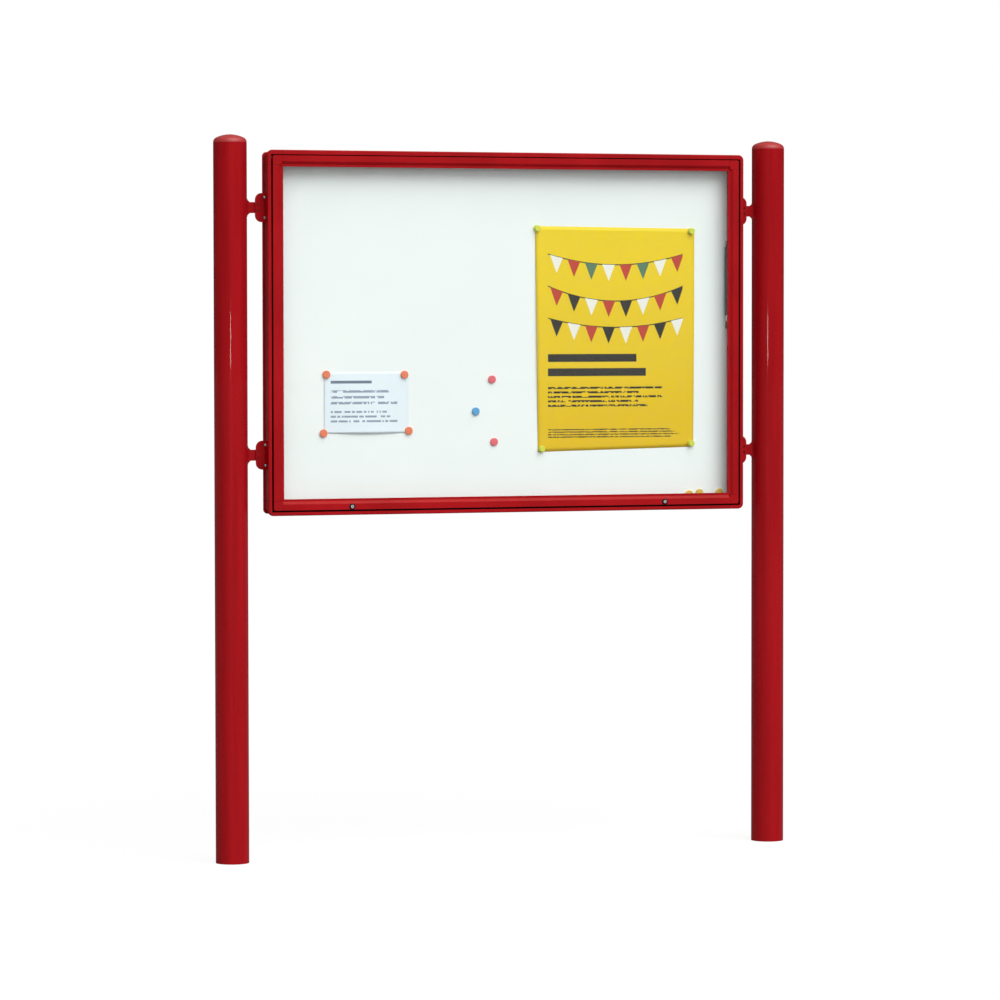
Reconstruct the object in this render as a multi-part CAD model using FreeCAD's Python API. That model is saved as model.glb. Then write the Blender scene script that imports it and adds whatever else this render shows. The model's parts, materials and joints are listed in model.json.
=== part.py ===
import FreeCAD, Part
import math
import os

from FreeCAD import Vector

# A lockable notice board on two round posts: a shallow glazed case whose door is hinged
# along its top edge, held up by two gas struts and shut by two cam locks.
# Millimetres. +X is to the viewer's right, the front faces -Y, +Z is up.
# The origin is on the ground line, midway between the axes of the posts.

# Posts and caps
post_height = 2000.0
post_diameter = 92.0
post_wall = 3.0
side_gap = 47.5
cap_dome_height = 22.0
cap_knuckle_radius = 15.0
cap_wall = 3.0
cap_skirt_depth = 30.0
cap_skirt_wall = 2.5
cap_fit = 0.2

# Case, as an outer frame of one section all round
case_width = 1403.0
case_height = 1003.0
case_depth = 63.0
case_ground_gap = 955.0
case_front_offset = 47.0
ring_face = 10.0
ring_top_lip = 2.2
ring_depth = 10.0
ring_corner_radius = 15.0
ring_edge_radius = 3.0
opening_radius = 3.0
wall_recess = 5.0
wall_thickness = 3.0
wall_corner_radius = 18.0
rim_side_recess = 1.5
rim_level_recess = 4.4
rim_depth = 9.0
rim_corner_radius = 12.0
rim_edge_radius = 1.8
ledge_width = 20.5
ledge_thickness = 2.5
flange_width = 16.0
flange_thickness = 2.5
inner_corner_radius = 3.0
corner_reach = 41.0
case_seam_gap = 1.2
door_seam_gap = 0.6
spigot_length = 25.0
spigot_fit = 0.1
corner_key_width = 6.0
corner_key_depth = 15.0

# Seal and back
seal_thickness = 2.7
seal_edge = 1.0
seal_running_gap = 0.3
display_depth = 21.0
board_face_thickness = 0.8
board_core_thickness = 7.7
board_edge_clearance = 1.0
back_panel_thickness = 1.5
rivet_diameter = 4.0
rivet_head_diameter = 9.0
rivet_head_height = 1.4
rivet_grip = 6.0
rivet_columns = 9
rivet_rows = 5

# Door
door_gap = 5.0
door_depth = 20.0
door_corner_radius = 5.0
door_back_edge_radius = 4.5
door_flat_face = 16.5
door_bevel_width = 7.5
door_bevel_depth = 5.0
door_lip_width = 6.5
door_lip_thickness = 2.5
glass_rebate = 9.0
chamber_wall = 2.0
chamber_front_wall = 2.5
chamber_step = 1.0
glass_thickness = 4.0
glass_edge_clearance = 1.5
gasket_thickness = 0.8
gasket_setback = 0.5
bead_thickness = 5.7
bead_setback = 1.0

# Hinge
hinge_depth = 6.0
hinge_drop = 6.0
hinge_pin_diameter = 5.0
hinge_pin_clearance = 0.05
hinge_pin_grip = 18.0
bush_diameter = 6.6
bush_flange_diameter = 8.0
bush_flange = 1.5
bush_skin = 2.0
hinge_boss_depth = 3.5
hinge_boss_height = 18.0

# Locks
lock_end_gap = 239.5
lock_rise = 8.5
lock_trim_diameter = 16.5
lock_trim_height = 2.6
lock_body_diameter = 12.0
lock_body_proud = 1.2
lock_body_tail = 5.6
lock_nut_across_flats = 15.0
lock_nut_height = 3.0
plug_head_diameter = 10.5
plug_head_height = 1.0
plug_diameter = 9.0
plug_clearance = 0.05
plug_end_gap = 0.1
plug_tail_square = 5.0
keyway_width = 1.4
keyway_height = 6.5
keyway_depth = 7.0
cam_width = 12.0
cam_reach = 20.0
cam_tail = 7.0
cam_thickness = 2.0
cam_running_gap = 0.3
cam_screw_diameter = 3.0
cam_screw_head_diameter = 7.5
cam_screw_head_height = 2.2
lock_notch_half_width = 12.0
lock_notch_sill = 6.0
strike_length = 20.0
strike_thickness = 2.0

# Gas struts
strut_inset = 39.5
strut_depth = 30.0
strut_top_drop = 229.0
strut_closed_length = 235.0
strut_tube_diameter = 14.0
strut_bore_diameter = 11.4
strut_tube_length = 195.0
strut_tube_top_gap = 9.0
strut_tube_end = 4.0
strut_tube_edge_radius = 1.5
strut_gland_length = 15.0
strut_rod_diameter = 6.0
strut_piston_diameter = 11.3
strut_piston_length = 8.0
strut_piston_top_gap = 9.0
strut_running_clearance = 0.05
eye_radius = 7.0
eye_thickness = 6.0
eye_shank_diameter = 8.0
foot_length = 15.0
foot_diameter = 9.0
strut_pin_diameter = 6.0
strut_collar_diameter = 10.0
strut_side_gap = 0.3
strut_plate_offset = 8.0
strut_plate_thickness = 2.5
strut_plate_reach = 9.0
strut_base_thickness = 1.5
strut_base_half_height = 26.0
strut_plate_half_height = 9.0
case_screw_inset = 17.2
small_screw_diameter = 3.0
small_screw_head = 4.6
small_screw_head_height = 1.3
small_screw_grip = 4.0

# Brackets on the case and lugs on the posts
upper_bracket_drop = 157.5
lower_bracket_rise = 166.5
bracket_height = 80.0
bracket_thickness = 5.0
bracket_front_gap = 7.0
bracket_lobe_reach = 29.5
bracket_lobe_radius = 19.0
bracket_bend_radius = 4.0
bracket_corner_radius = 4.0
lug_thickness = 8.0
lug_neck_height = 30.0
lug_foot_height = 46.0
lug_foot_length = 9.0
lug_end_gap = 4.0
lug_corner_radius = 4.0
bolt_diameter = 4.0
bolt_hole_diameter = 4.5
bolt_head_diameter = 7.5
bolt_head_height = 2.8
bolt_tail = 1.5
nut_across_flats = 7.0
nut_height = 3.2
lug_bolt_pitch = 16.0
lug_bolt_edge = 6.5
case_bolt_pitch = 56.0
case_bolt_depth = 30.0

# Sheets and magnets on the board, placed from the edges of the case. The magnets of a sheet are
# placed from its own edges: sideways from the nearer one, and down or up from its top or foot.
sheet_thickness = 0.4
notice_width = 246.0
notice_height = 170.0
notice_left_gap = 171.5
notice_bottom_gap = 223.7
poster_width = 474.0
poster_height = 625.0
poster_right_gap = 134.5
poster_bottom_gap = 171.8
magnet_diameter = 22.0
magnet_height = 6.0
pin_magnet_diameter = 19.0
pin_magnet_height = 11.0
pin_waist_share = 0.62
pin_grip_share = 0.9
pin_waist_level = 0.55
pin_foot_level = 0.3
pin_edge_radius = 1.5
orange_top_insets = [(7.3, 6.8), (12.4, 8.1)]
orange_foot_insets = [(-1.3, 1.1), (0.3, 5.9)]
lime_top_insets = [(1.0, 3.5), (8.8, 8.9)]
lime_foot_insets = [(14.1, 2.9), (9.5, 14.5)]
red_middle_offsets = [-39.5, -33.6]
red_heights = [371.0, 196.4]
blue_middle_offset = -87.5
blue_height = 282.1
ochre_right_gaps = [148.8, 117.1, 57.1]
ochre_heights = [42.0, 45.5, 46.0]

# Worked out from the sizes above
post_offset = case_width / 2 + side_gap + post_diameter / 2
case_centre_z = case_ground_gap + case_height / 2
wall_inner = wall_recess + wall_thickness
seal_front = door_depth + seal_running_gap
ledge_front = seal_front + seal_thickness
ledge_back = ledge_front + ledge_thickness
ledge_inset = wall_inner + ledge_width
board_front = ledge_back + display_depth
core_front = board_front + board_face_thickness
flange_front = core_front + board_core_thickness
panel_front = flange_front + flange_thickness
panel_back = panel_front + back_panel_thickness
flange_inset = wall_inner + flange_width
board_inset = wall_inner + board_edge_clearance
door_inset = ring_face + door_gap
door_frame_width = door_flat_face + door_bevel_width + door_lip_width
glass_opening_inset = door_inset + door_frame_width
rebate_inset = glass_opening_inset - glass_rebate
rebate_front = door_bevel_depth + door_lip_thickness
glass_front = rebate_front + gasket_thickness
glass_back = glass_front + glass_thickness
bead_back = glass_back + bead_thickness
chamber_outer = door_inset + chamber_wall
chamber_inner = door_inset + door_flat_face - chamber_step
chamber_back = door_depth - chamber_front_wall
hinge_inset = door_inset + hinge_drop
hinge_z = case_ground_gap + case_height - hinge_inset
lock_offset = case_width / 2 - lock_end_gap
lock_z = case_ground_gap + door_inset + lock_rise
strut_offset = case_width / 2 - strut_inset
strut_top_z = hinge_z - strut_top_drop
strut_foot_z = strut_top_z - strut_closed_length
strut_tube_top_z = strut_top_z - strut_tube_top_gap
strut_tube_bottom_z = strut_tube_top_z - strut_tube_length
strut_plate_x = strut_offset + strut_plate_offset
wall_outer_x = case_width / 2 - wall_recess
wall_inner_x = case_width / 2 - wall_inner
bracket_outer_x = wall_outer_x + bracket_thickness
lobe_end_x = wall_outer_x + bracket_lobe_reach
lug_bolt_x = lobe_end_x - lug_bolt_edge
lug_front = case_front_offset - lug_thickness / 2
lug_back = lug_front + lug_thickness
lobe_front = lug_front - bracket_thickness
notice_x = -case_width / 2 + notice_left_gap
notice_z = case_ground_gap + notice_bottom_gap
poster_x = case_width / 2 - poster_right_gap - poster_width
poster_z = case_ground_gap + poster_bottom_gap
bracket_heights = (case_centre_z + case_height / 2 - upper_bracket_drop,
                   case_ground_gap + lower_bracket_rise)
overrun = 5.0
overlap = 1.0


def y_at(depth):
    """Y of a plane that lies this far behind the front face of the case."""
    return depth - case_front_offset


def block(x0, x1, front, back, z0, z1):
    """Box between two values of X, two depths and two heights."""
    corner = Vector(min(x0, x1), y_at(front), min(z0, z1))
    return Part.makeBox(abs(x1 - x0), back - front, abs(z1 - z0), corner)


def rod_x(x0, x1, depth, z, diameter):
    """Round bar along X."""
    start = Vector(min(x0, x1), y_at(depth), z)
    return Part.makeCylinder(diameter / 2, abs(x1 - x0), start, Vector(1, 0, 0))


def rod_y(front, back, x, z, diameter):
    """Round bar along Y, between two depths."""
    return Part.makeCylinder(diameter / 2, back - front, Vector(x, y_at(front), z), Vector(0, 1, 0))


def rod_z(z0, z1, x, depth, diameter):
    """Round bar along Z."""
    return Part.makeCylinder(diameter / 2, z1 - z0, Vector(x, y_at(depth), z0), Vector(0, 0, 1))


def mirrored(shape):
    """The same shape on the other side of the board."""
    return shape.mirror(Vector(0, 0, 0), Vector(1, 0, 0))


def both_sides(shape):
    """A left and a right copy of a shape that is drawn on the right."""
    return [mirrored(shape), shape]


def edges_along(shape, axis):
    """Straight edges of a shape that run along one axis."""
    found = []
    for edge in shape.Edges:
        if len(edge.Vertexes) != 2:
            continue
        run = edge.Vertexes[1].Point - edge.Vertexes[0].Point
        if run.Length > 0 and abs(abs(run.dot(axis)) - run.Length) < 1e-6:
            found.append(edge)
    return found


def edges_in_plane(shape, y):
    """Edges of a shape that lie in one plane across Y."""
    return [e for e in shape.Edges if all(abs(v.Y - y) < 1e-6 for v in e.Vertexes)]


def prism_xz(points, front, back):
    """Flat outline in X and Z, given between two depths."""
    corners = [Vector(x, y_at(front), z) for x, z in points]
    face = Part.Face(Part.makePolygon(corners + corners[:1]))
    return face.extrude(Vector(0, back - front, 0))


def plate(inset, radius, front, back):
    """Plate as large as the case less an inset all round, with rounded corners."""
    half_width = case_width / 2 - inset
    half_height = case_height / 2 - inset
    shape = block(-half_width, half_width, front, back,
                  case_centre_z - half_height, case_centre_z + half_height)
    if radius > 0:
        shape = shape.makeFillet(radius, edges_along(shape, Vector(0, 1, 0)))
    return shape


def band(outer, inner, front, back, outer_radius, inner_radius):
    """Rectangular ring between two insets and two depths."""
    hole = plate(inner, inner_radius, front - overrun, back + overrun)
    return plate(outer, outer_radius, front, back).cut(hole)


def level_region(side, seam):
    """Space of the top (1) or bottom (-1) rail: square at its seams, mitred inside them."""
    x_seam = case_width / 2 - seam
    x_inner = case_width / 2 - glass_opening_inset
    z_outer = case_centre_z + side * (case_height / 2 + overrun)
    z_seam = case_centre_z + side * (case_height / 2 - seam)
    z_inner = case_centre_z + side * (case_height / 2 - glass_opening_inset)
    points = [(-x_seam, z_outer), (x_seam, z_outer), (x_seam, z_seam),
              (x_inner, z_inner), (-x_inner, z_inner), (-x_seam, z_seam)]
    return prism_xz(points, -overrun, case_depth + overrun)


def upright_region(side, seam):
    """Space of the right (1) or left (-1) stile, made as the rails' is."""
    z_seam = case_height / 2 - seam
    z_inner = case_height / 2 - glass_opening_inset
    x_outer = side * (case_width / 2 + overrun)
    x_seam = side * (case_width / 2 - seam)
    x_inner = side * (case_width / 2 - glass_opening_inset)
    points = [(x_outer, -z_seam), (x_seam, -z_seam), (x_inner, -z_inner),
              (x_inner, z_inner), (x_seam, z_seam), (x_outer, z_seam)]
    raised = [(x, z + case_centre_z) for x, z in points]
    return prism_xz(raised, -overrun, case_depth + overrun)


def corner_region(side_x, side_z, reach):
    """Square space round one corner of the case."""
    x = side_x * case_width / 2
    z = case_centre_z + side_z * case_height / 2
    return block(x + side_x * overrun, x - side_x * reach, -overrun, case_depth + overrun,
                 z + side_z * overrun, z - side_z * reach)


def corner_signs():
    """Signs of X and Z at the four corners."""
    return [(side_x, side_z) for side_z in (1, -1) for side_x in (-1, 1)]


def hexagon(across_flats, x, z):
    """Corners of a nut's outline in X and Z."""
    radius = across_flats / math.sqrt(3)
    turns = [math.radians(60 * i) for i in range(6)]
    return [(x + radius * math.cos(t), z + radius * math.sin(t)) for t in turns]


def button_y(depth, x, z, diameter, height):
    """Low domed head that stands forward of a plane at this depth."""
    radius = (diameter ** 2 / 4 + height ** 2) / (2 * height)
    centre = Vector(x, y_at(depth) + radius - height, z)
    ball = Part.makeSphere(radius, centre)
    return ball.common(rod_y(depth - height, depth, x, z, diameter))


def post(side):
    """Round tube, open at the ground line where its buried length begins."""
    top = post_height - cap_dome_height
    x = side * post_offset
    tube = rod_z(0, top, x, case_front_offset, post_diameter)
    return tube.cut(rod_z(-overrun, top + overrun, x, case_front_offset,
                          post_diameter - 2 * post_wall))


def dome(radius, height, knuckle, z, x):
    """Solid dome: a shallow crown that runs through a tight knuckle into an upright edge."""
    crown = (height ** 2 + radius ** 2 - 2 * radius * knuckle) / (2 * (height - knuckle))
    lean = math.atan2(crown - height, radius - knuckle)
    half = (lean + math.pi / 2) / 2
    points = [Vector(radius, 0, 0)]
    for centre_x, centre_z, size, turn in ((radius - knuckle, 0, knuckle, lean / 2),
                                           (radius - knuckle, 0, knuckle, lean),
                                           (0, height - crown, crown, half)):
        points.append(Vector(centre_x + size * math.cos(turn), 0,
                             centre_z + size * math.sin(turn)))
    points.append(Vector(0, 0, height))
    edges = [Part.makeLine(Vector(0, 0, 0), points[0]),
             Part.Arc(*points[0:3]).toShape(), Part.Arc(*points[2:5]).toShape(),
             Part.makeLine(points[4], Vector(0, 0, 0))]
    shape = Part.Face(Part.Wire(edges)).revolve(Vector(0, 0, 0), Vector(0, 0, 1), 360)
    shape.translate(Vector(x, 0, z))
    return shape


def post_cap(side):
    """Moulded cap: a hollow dome on a skirt that plugs the tube."""
    x = side * post_offset
    seat = post_height - cap_dome_height
    skirt_diameter = post_diameter - 2 * post_wall - 2 * cap_fit
    outer = dome(post_diameter / 2, cap_dome_height, cap_knuckle_radius, seat, x)
    skirt = rod_z(seat - cap_skirt_depth, seat, x, case_front_offset, skirt_diameter)
    inside = dome(skirt_diameter / 2 - cap_skirt_wall, cap_dome_height - cap_wall,
                  cap_knuckle_radius - cap_wall, seat, x)
    hollow = rod_z(seat - cap_skirt_depth - overrun, seat, x, case_front_offset,
                   skirt_diameter - 2 * cap_skirt_wall)
    return outer.fuse(skirt).cut(inside).cut(hollow)


def post_lug(height):
    """Plate welded to the right post, with two bolt holes in its narrow end."""
    near = lobe_end_x - bracket_lobe_reach + bracket_thickness + lug_end_gap
    flare_end = post_offset - post_diameter / 2
    neck_end = flare_end - lug_foot_length
    neck = lug_neck_height / 2
    foot = lug_foot_height / 2
    outline = [(near, -neck), (neck_end, -neck), (flare_end, -foot), (post_offset, -foot),
               (post_offset, foot), (flare_end, foot), (neck_end, neck), (near, neck)]
    raised = [(x, z + height) for x, z in outline]
    shape = prism_xz(raised, lug_front, lug_back)
    ends = [e for e in edges_along(shape, Vector(0, 1, 0)) if e.Vertexes[0].X < near + 1e-6]
    shape = shape.makeFillet(lug_corner_radius, ends)
    shape = shape.cut(rod_z(0, post_height, post_offset, case_front_offset, post_diameter))
    for z in lug_bolt_heights(height):
        shape = shape.cut(rod_y(lug_front - overrun, lug_back + overrun, lug_bolt_x, z,
                                bolt_hole_diameter))
    return shape


def lug_bolt_heights(height):
    """Heights of the two bolts through a bracket's lobe and its lug."""
    return (height - lug_bolt_pitch / 2, height + lug_bolt_pitch / 2)


def case_bolt_heights(height):
    """Heights of the two screws through a bracket's leg and the case."""
    return (height - case_bolt_pitch / 2, height + case_bolt_pitch / 2)


def case_bracket(height):
    """Angle bracket: a leg on the side of the case and a rounded lobe in front of the lug."""
    half = bracket_height / 2
    leg = block(wall_outer_x, bracket_outer_x, ring_depth + bracket_front_gap, lug_front,
                height - half, height + half)
    front_edges = [e for e in edges_along(leg, Vector(1, 0, 0))
                   if e.Vertexes[0].Y < y_at(lobe_front)]
    leg = leg.makeFillet(bracket_corner_radius, front_edges)
    lobe = block(wall_outer_x, lobe_end_x, lobe_front, lug_front, height - half, height + half)
    tips = [e for e in edges_along(lobe, Vector(0, 1, 0)) if e.Vertexes[0].X > bracket_outer_x]
    lobe = lobe.makeFillet(bracket_lobe_radius, tips)
    shape = leg.fuse(lobe).removeSplitter()
    bend = [e for e in edges_along(shape, Vector(0, 0, 1))
            if abs(e.Vertexes[0].X - bracket_outer_x) < 1e-6
            and abs(e.Vertexes[0].Y - y_at(lobe_front)) < 1e-6]
    shape = shape.makeFillet(bracket_bend_radius, bend)
    for z in lug_bolt_heights(height):
        shape = shape.cut(rod_y(lobe_front - overrun, lug_front + overrun, lug_bolt_x, z,
                                bolt_hole_diameter))
    for z in case_bolt_heights(height):
        shape = shape.cut(case_bolt_hole(z))
    return shape


def case_bolt_hole(z):
    """Clearance hole along X through a bracket's leg and the wall of the case."""
    return rod_x(wall_inner_x - overrun, bracket_outer_x + overrun, case_bolt_depth, z,
                 bolt_hole_diameter)


def lug_bolt(z):
    """Button-head bolt through lobe and lug."""
    head = button_y(lobe_front, lug_bolt_x, z, bolt_head_diameter, bolt_head_height)
    shank = rod_y(lobe_front, lug_back + nut_height + bolt_tail, lug_bolt_x, z, bolt_diameter)
    return head.fuse(shank)


def lug_nut(z):
    """Nut behind the lug."""
    shape = prism_xz(hexagon(nut_across_flats, lug_bolt_x, z), lug_back, lug_back + nut_height)
    return shape.cut(rod_y(lug_back - overlap, lug_back + nut_height + overlap, lug_bolt_x, z,
                           bolt_diameter))


def turn_to_side(shape, x, depth, z):
    """Turn a fastener that is drawn along Y so that it goes in along -X."""
    turned = shape.copy()
    turned.rotate(Vector(x, y_at(depth), z), Vector(0, 0, 1), 90)
    return turned


def case_screw(z):
    """Button-head screw from the outside of a bracket's leg."""
    head = button_y(case_bolt_depth, bracket_outer_x, z, bolt_head_diameter, bolt_head_height)
    length = bracket_outer_x - wall_inner_x + nut_height + bolt_tail
    shank = rod_y(case_bolt_depth, case_bolt_depth + length, bracket_outer_x, z, bolt_diameter)
    return turn_to_side(head.fuse(shank), bracket_outer_x, case_bolt_depth, z)


def case_nut(z):
    """Nut on the inner face of the case's wall."""
    outline = hexagon(nut_across_flats, wall_inner_x, z)
    shape = prism_xz(outline, case_bolt_depth, case_bolt_depth + nut_height)
    shape = shape.cut(rod_y(case_bolt_depth - overlap, case_bolt_depth + nut_height + overlap,
                            wall_inner_x, z, bolt_diameter))
    return turn_to_side(shape, wall_inner_x, case_bolt_depth, z)


def casing_frame():
    """The whole outer frame of the case, before it is cut into its pieces."""
    ring = plate(0, ring_corner_radius, 0, ring_depth)
    ring = ring.makeFillet(ring_edge_radius, edges_in_plane(ring, y_at(0)))
    ring = ring.cut(plate(ring_face, opening_radius, -overrun, ring_depth + overrun))
    ring = ring.fuse(top_lip())
    wall = band(wall_recess, wall_inner, ring_depth, case_depth, wall_corner_radius,
                wall_corner_radius - wall_thickness)
    rim = rim_plate()
    rim_edges = edges_in_plane(rim, y_at(case_depth - rim_depth))
    rim_edges += edges_in_plane(rim, y_at(case_depth))
    rim = rim.makeFillet(rim_edge_radius, rim_edges)
    rim = rim.cut(plate(wall_inner, wall_corner_radius - wall_thickness,
                        -overrun, case_depth + overrun))
    ledge = band(wall_inner - overlap, ledge_inset, ledge_front, ledge_back,
                 wall_corner_radius - wall_thickness, inner_corner_radius)
    flange = band(wall_inner - overlap, flange_inset, flange_front, panel_front,
                  wall_corner_radius - wall_thickness, inner_corner_radius)
    return ring.fuse([wall, rim, ledge, flange]).removeSplitter()


def top_lip():
    """Strip that narrows the gap over the door, just clear of the door's turning edge."""
    x = case_width / 2 - ring_face
    z = case_centre_z + case_height / 2 - ring_face
    return block(-x, x, 0, ring_depth, z - ring_top_lip, z)


def rim_plate():
    """Rear rim, before the opening is cut: it stands less proud above and below."""
    half_width = case_width / 2 - rim_side_recess
    half_height = case_height / 2 - rim_level_recess
    shape = block(-half_width, half_width, case_depth - rim_depth, case_depth,
                  case_centre_z - half_height, case_centre_z + half_height)
    return shape.makeFillet(rim_corner_radius, edges_along(shape, Vector(0, 1, 0)))


def seam_gaskets(frame):
    """Thin black packings between the corners of the case and its rails."""
    pieces = []
    for side_x, side_z in corner_signs():
        slot = corner_region(side_x, side_z, corner_reach + case_seam_gap)
        slot = slot.cut(corner_region(side_x, side_z, corner_reach))
        pieces += frame.common(slot).Solids
    return pieces


def casing_corner(frame, side_x, side_z):
    """Moulded corner of the case, with a key that slides into each rail beside it."""
    shape = frame.common(corner_region(side_x, side_z, corner_reach))
    key_front = ledge_back + 2
    key_back = key_front + corner_key_depth
    key_inner = wall_inner + corner_key_width
    root = band(wall_inner - overlap / 2, key_inner, key_front, key_back, wall_corner_radius, 1)
    leg = band(wall_inner + spigot_fit, key_inner, key_front, key_back, wall_corner_radius, 1)
    shape = shape.fuse(root.common(corner_region(side_x, side_z, corner_reach)))
    shape = shape.fuse(leg.common(corner_region(side_x, side_z, corner_reach + spigot_length)))
    if side_z > 0:
        shape = add_hinge_boss(shape, side_x)
    return shape.removeSplitter()


def add_hinge_boss(shape, side_x):
    """Thicken a top corner behind its ring and bore it for the hinge bush."""
    half = hinge_boss_height / 2
    boss = block(side_x * wall_outer_x, side_x * (case_width / 2 - ring_face),
                 ring_depth - overlap, ring_depth + hinge_boss_depth, hinge_z - half, hinge_z + half)
    bore = rod_x(side_x * (case_width / 2 - ring_face - overrun),
                 side_x * (case_width / 2 - bush_skin), hinge_depth, hinge_z, bush_diameter)
    return shape.fuse(boss).cut(bore)


def hinge_bush(side_x):
    """Flanged plain bearing in a top corner of the case."""
    face = case_width / 2 - ring_face
    body = rod_x(side_x * face, side_x * (case_width / 2 - bush_skin), hinge_depth, hinge_z,
                 bush_diameter)
    flange = rod_x(side_x * (face - bush_flange), side_x * face, hinge_depth, hinge_z,
                   bush_flange_diameter)
    bore = rod_x(side_x * (face - overrun), side_x * case_width / 2, hinge_depth, hinge_z,
                 hinge_pin_diameter + 2 * hinge_pin_clearance)
    return body.fuse(flange).cut(bore)


def hinge_pin(side_x):
    """Pivot pin pressed into a top corner of the door."""
    inner = case_width / 2 - door_inset - hinge_pin_grip
    outer = case_width / 2 - bush_skin - 2 * hinge_pin_clearance
    return rod_x(side_x * inner, side_x * outer, hinge_depth, hinge_z, hinge_pin_diameter)


def casing_rails(frame):
    """The four extruded sides of the case, ready to be joined by the corners."""
    seam = corner_reach + case_seam_gap
    rails = {
        "casing_top_rail": frame.common(level_region(1, seam)),
        "casing_bottom_rail": frame.common(level_region(-1, seam)),
        "casing_left_stile": frame.common(upright_region(-1, seam)),
        "casing_right_stile": frame.common(upright_region(1, seam)),
    }
    for x in (-lock_offset, lock_offset):
        rails["casing_bottom_rail"] = rails["casing_bottom_rail"].cut(lock_notch(x))
    for height in bracket_heights:
        for z in case_bolt_heights(height):
            hole = case_bolt_hole(z)
            rails["casing_right_stile"] = rails["casing_right_stile"].cut(hole)
            rails["casing_left_stile"] = rails["casing_left_stile"].cut(mirrored(hole))
    for name in rails:
        for x, z in rivet_places():
            rails[name] = rails[name].cut(rivet_hole(x, z)) if near_flange(name, x, z) \
                else rails[name]
    return rails


def lock_notch(x):
    """Gap in the lower ledge and seal that lets a lock through."""
    floor = case_ground_gap + wall_inner + lock_notch_sill
    return block(x - lock_notch_half_width, x + lock_notch_half_width,
                 seal_front - overlap / 2, ledge_back + overlap / 2, floor,
                 floor + ledge_width + overrun)


def rivet_places():
    """Centres of the rivets round the back panel."""
    half_width = case_width / 2 - (wall_inner + flange_inset) / 2
    half_height = case_height / 2 - (wall_inner + flange_inset) / 2
    step_x = 2 * half_width / rivet_columns
    step_z = 2 * half_height / rivet_rows
    level = [(-half_width + step_x * (i + 0.5), side * half_height)
             for side in (-1, 1) for i in range(rivet_columns)]
    upright = [(side * half_width, -half_height + step_z * (i + 0.5))
               for side in (-1, 1) for i in range(rivet_rows)]
    return [(x, z + case_centre_z) for x, z in level + upright]


def near_flange(name, x, z):
    """Whether a rivet goes through the flange of the named rail."""
    rise = z - case_centre_z
    on_level = abs(rise) > case_height / 2 - flange_inset
    sides = {"casing_top_rail": on_level and rise > 0,
             "casing_bottom_rail": on_level and rise < 0,
             "casing_left_stile": not on_level and x < 0,
             "casing_right_stile": not on_level and x > 0}
    return sides[name]


def rivet_hole(x, z):
    """Hole for one rivet through the panel, the flange and part of the core."""
    return rod_y(panel_back - rivet_grip - back_panel_thickness, panel_back + overrun, x, z,
                 rivet_diameter)


def back_rivet(x, z):
    """Blind rivet with a low domed head at the back."""
    shank = rod_y(panel_back - rivet_grip - back_panel_thickness, panel_back, x, z, rivet_diameter)
    head = button_y(panel_back, x, z, rivet_head_diameter, rivet_head_height)
    head = head.mirror(Vector(0, y_at(panel_back), 0), Vector(0, 1, 0))
    return shank.fuse(head)


def board_sheet(inset, front, back, holes):
    """Flat sheet that fills the case, with or without the rivet holes."""
    sheet = plate(inset, wall_corner_radius - wall_thickness, front, back)
    if holes:
        sheet = sheet.cut(Part.makeCompound([rivet_hole(x, z) for x, z in rivet_places()]))
    return sheet


def door_seal():
    """Compression seal on the front of the ledge, open where the locks pass."""
    seal = band(wall_inner + seal_edge, ledge_inset - seal_edge, seal_front, ledge_front,
                wall_corner_radius - wall_thickness - seal_edge, 0)
    for x in (-lock_offset, lock_offset):
        seal = seal.cut(lock_notch(x))
    return seal


def lock_strike():
    """Steel plate behind the ledge that the right lock's cam pulls against once it is turned."""
    floor = case_ground_gap + wall_inner
    start = lock_offset - lock_notch_half_width - strike_length
    return block(start, start + strike_length, ledge_back, ledge_back + strike_thickness,
                 floor, floor + ledge_width)


def door_frame():
    """The whole door frame with a flat face, before it is cut into its pieces."""
    frame = plate(door_inset, door_corner_radius, 0, door_depth)
    frame = frame.makeFillet(door_back_edge_radius, edges_in_plane(frame, y_at(door_depth)))
    frame = frame.cut(plate(glass_opening_inset, 0, -overrun, door_depth + overrun))
    return frame.cut(plate(rebate_inset, 0, rebate_front, door_depth + overrun))


def bevel_cutter():
    """Shallow pyramid that takes the bevel and the lip off the front of the door."""
    outer = rectangle(door_inset + door_flat_face, 0)
    inner = rectangle(door_inset + door_flat_face + door_bevel_width, door_bevel_depth)
    slope = Part.makeLoft([outer, inner], True, True)
    return slope


def rectangle(inset, depth):
    """Closed rectangle at an inset and a depth."""
    x = case_width / 2 - inset
    z = case_height / 2 - inset
    points = [(-x, -z), (x, -z), (x, z), (-x, z), (-x, -z)]
    return Part.makePolygon([Vector(px, y_at(depth), pz + case_centre_z) for px, pz in points])


def door_corner(frame, side_x, side_z):
    """Flat moulded corner of the door, with a spigot for each hollow rail beside it."""
    shape = frame.common(corner_region(side_x, side_z, corner_reach))
    spigot = band(chamber_outer + 2 * spigot_fit, chamber_inner - 2 * spigot_fit,
                  chamber_front_wall + spigot_fit, chamber_back - spigot_fit, 0, 0)
    spigot = spigot.common(corner_region(side_x, side_z, corner_reach + spigot_length))
    shape = shape.fuse(spigot)
    if side_z > 0:
        shape = shape.cut(rod_x(side_x * (case_width / 2 - door_inset - hinge_pin_grip),
                                side_x * case_width / 2, hinge_depth, hinge_z,
                                hinge_pin_diameter))
    return shape.removeSplitter()


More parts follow.
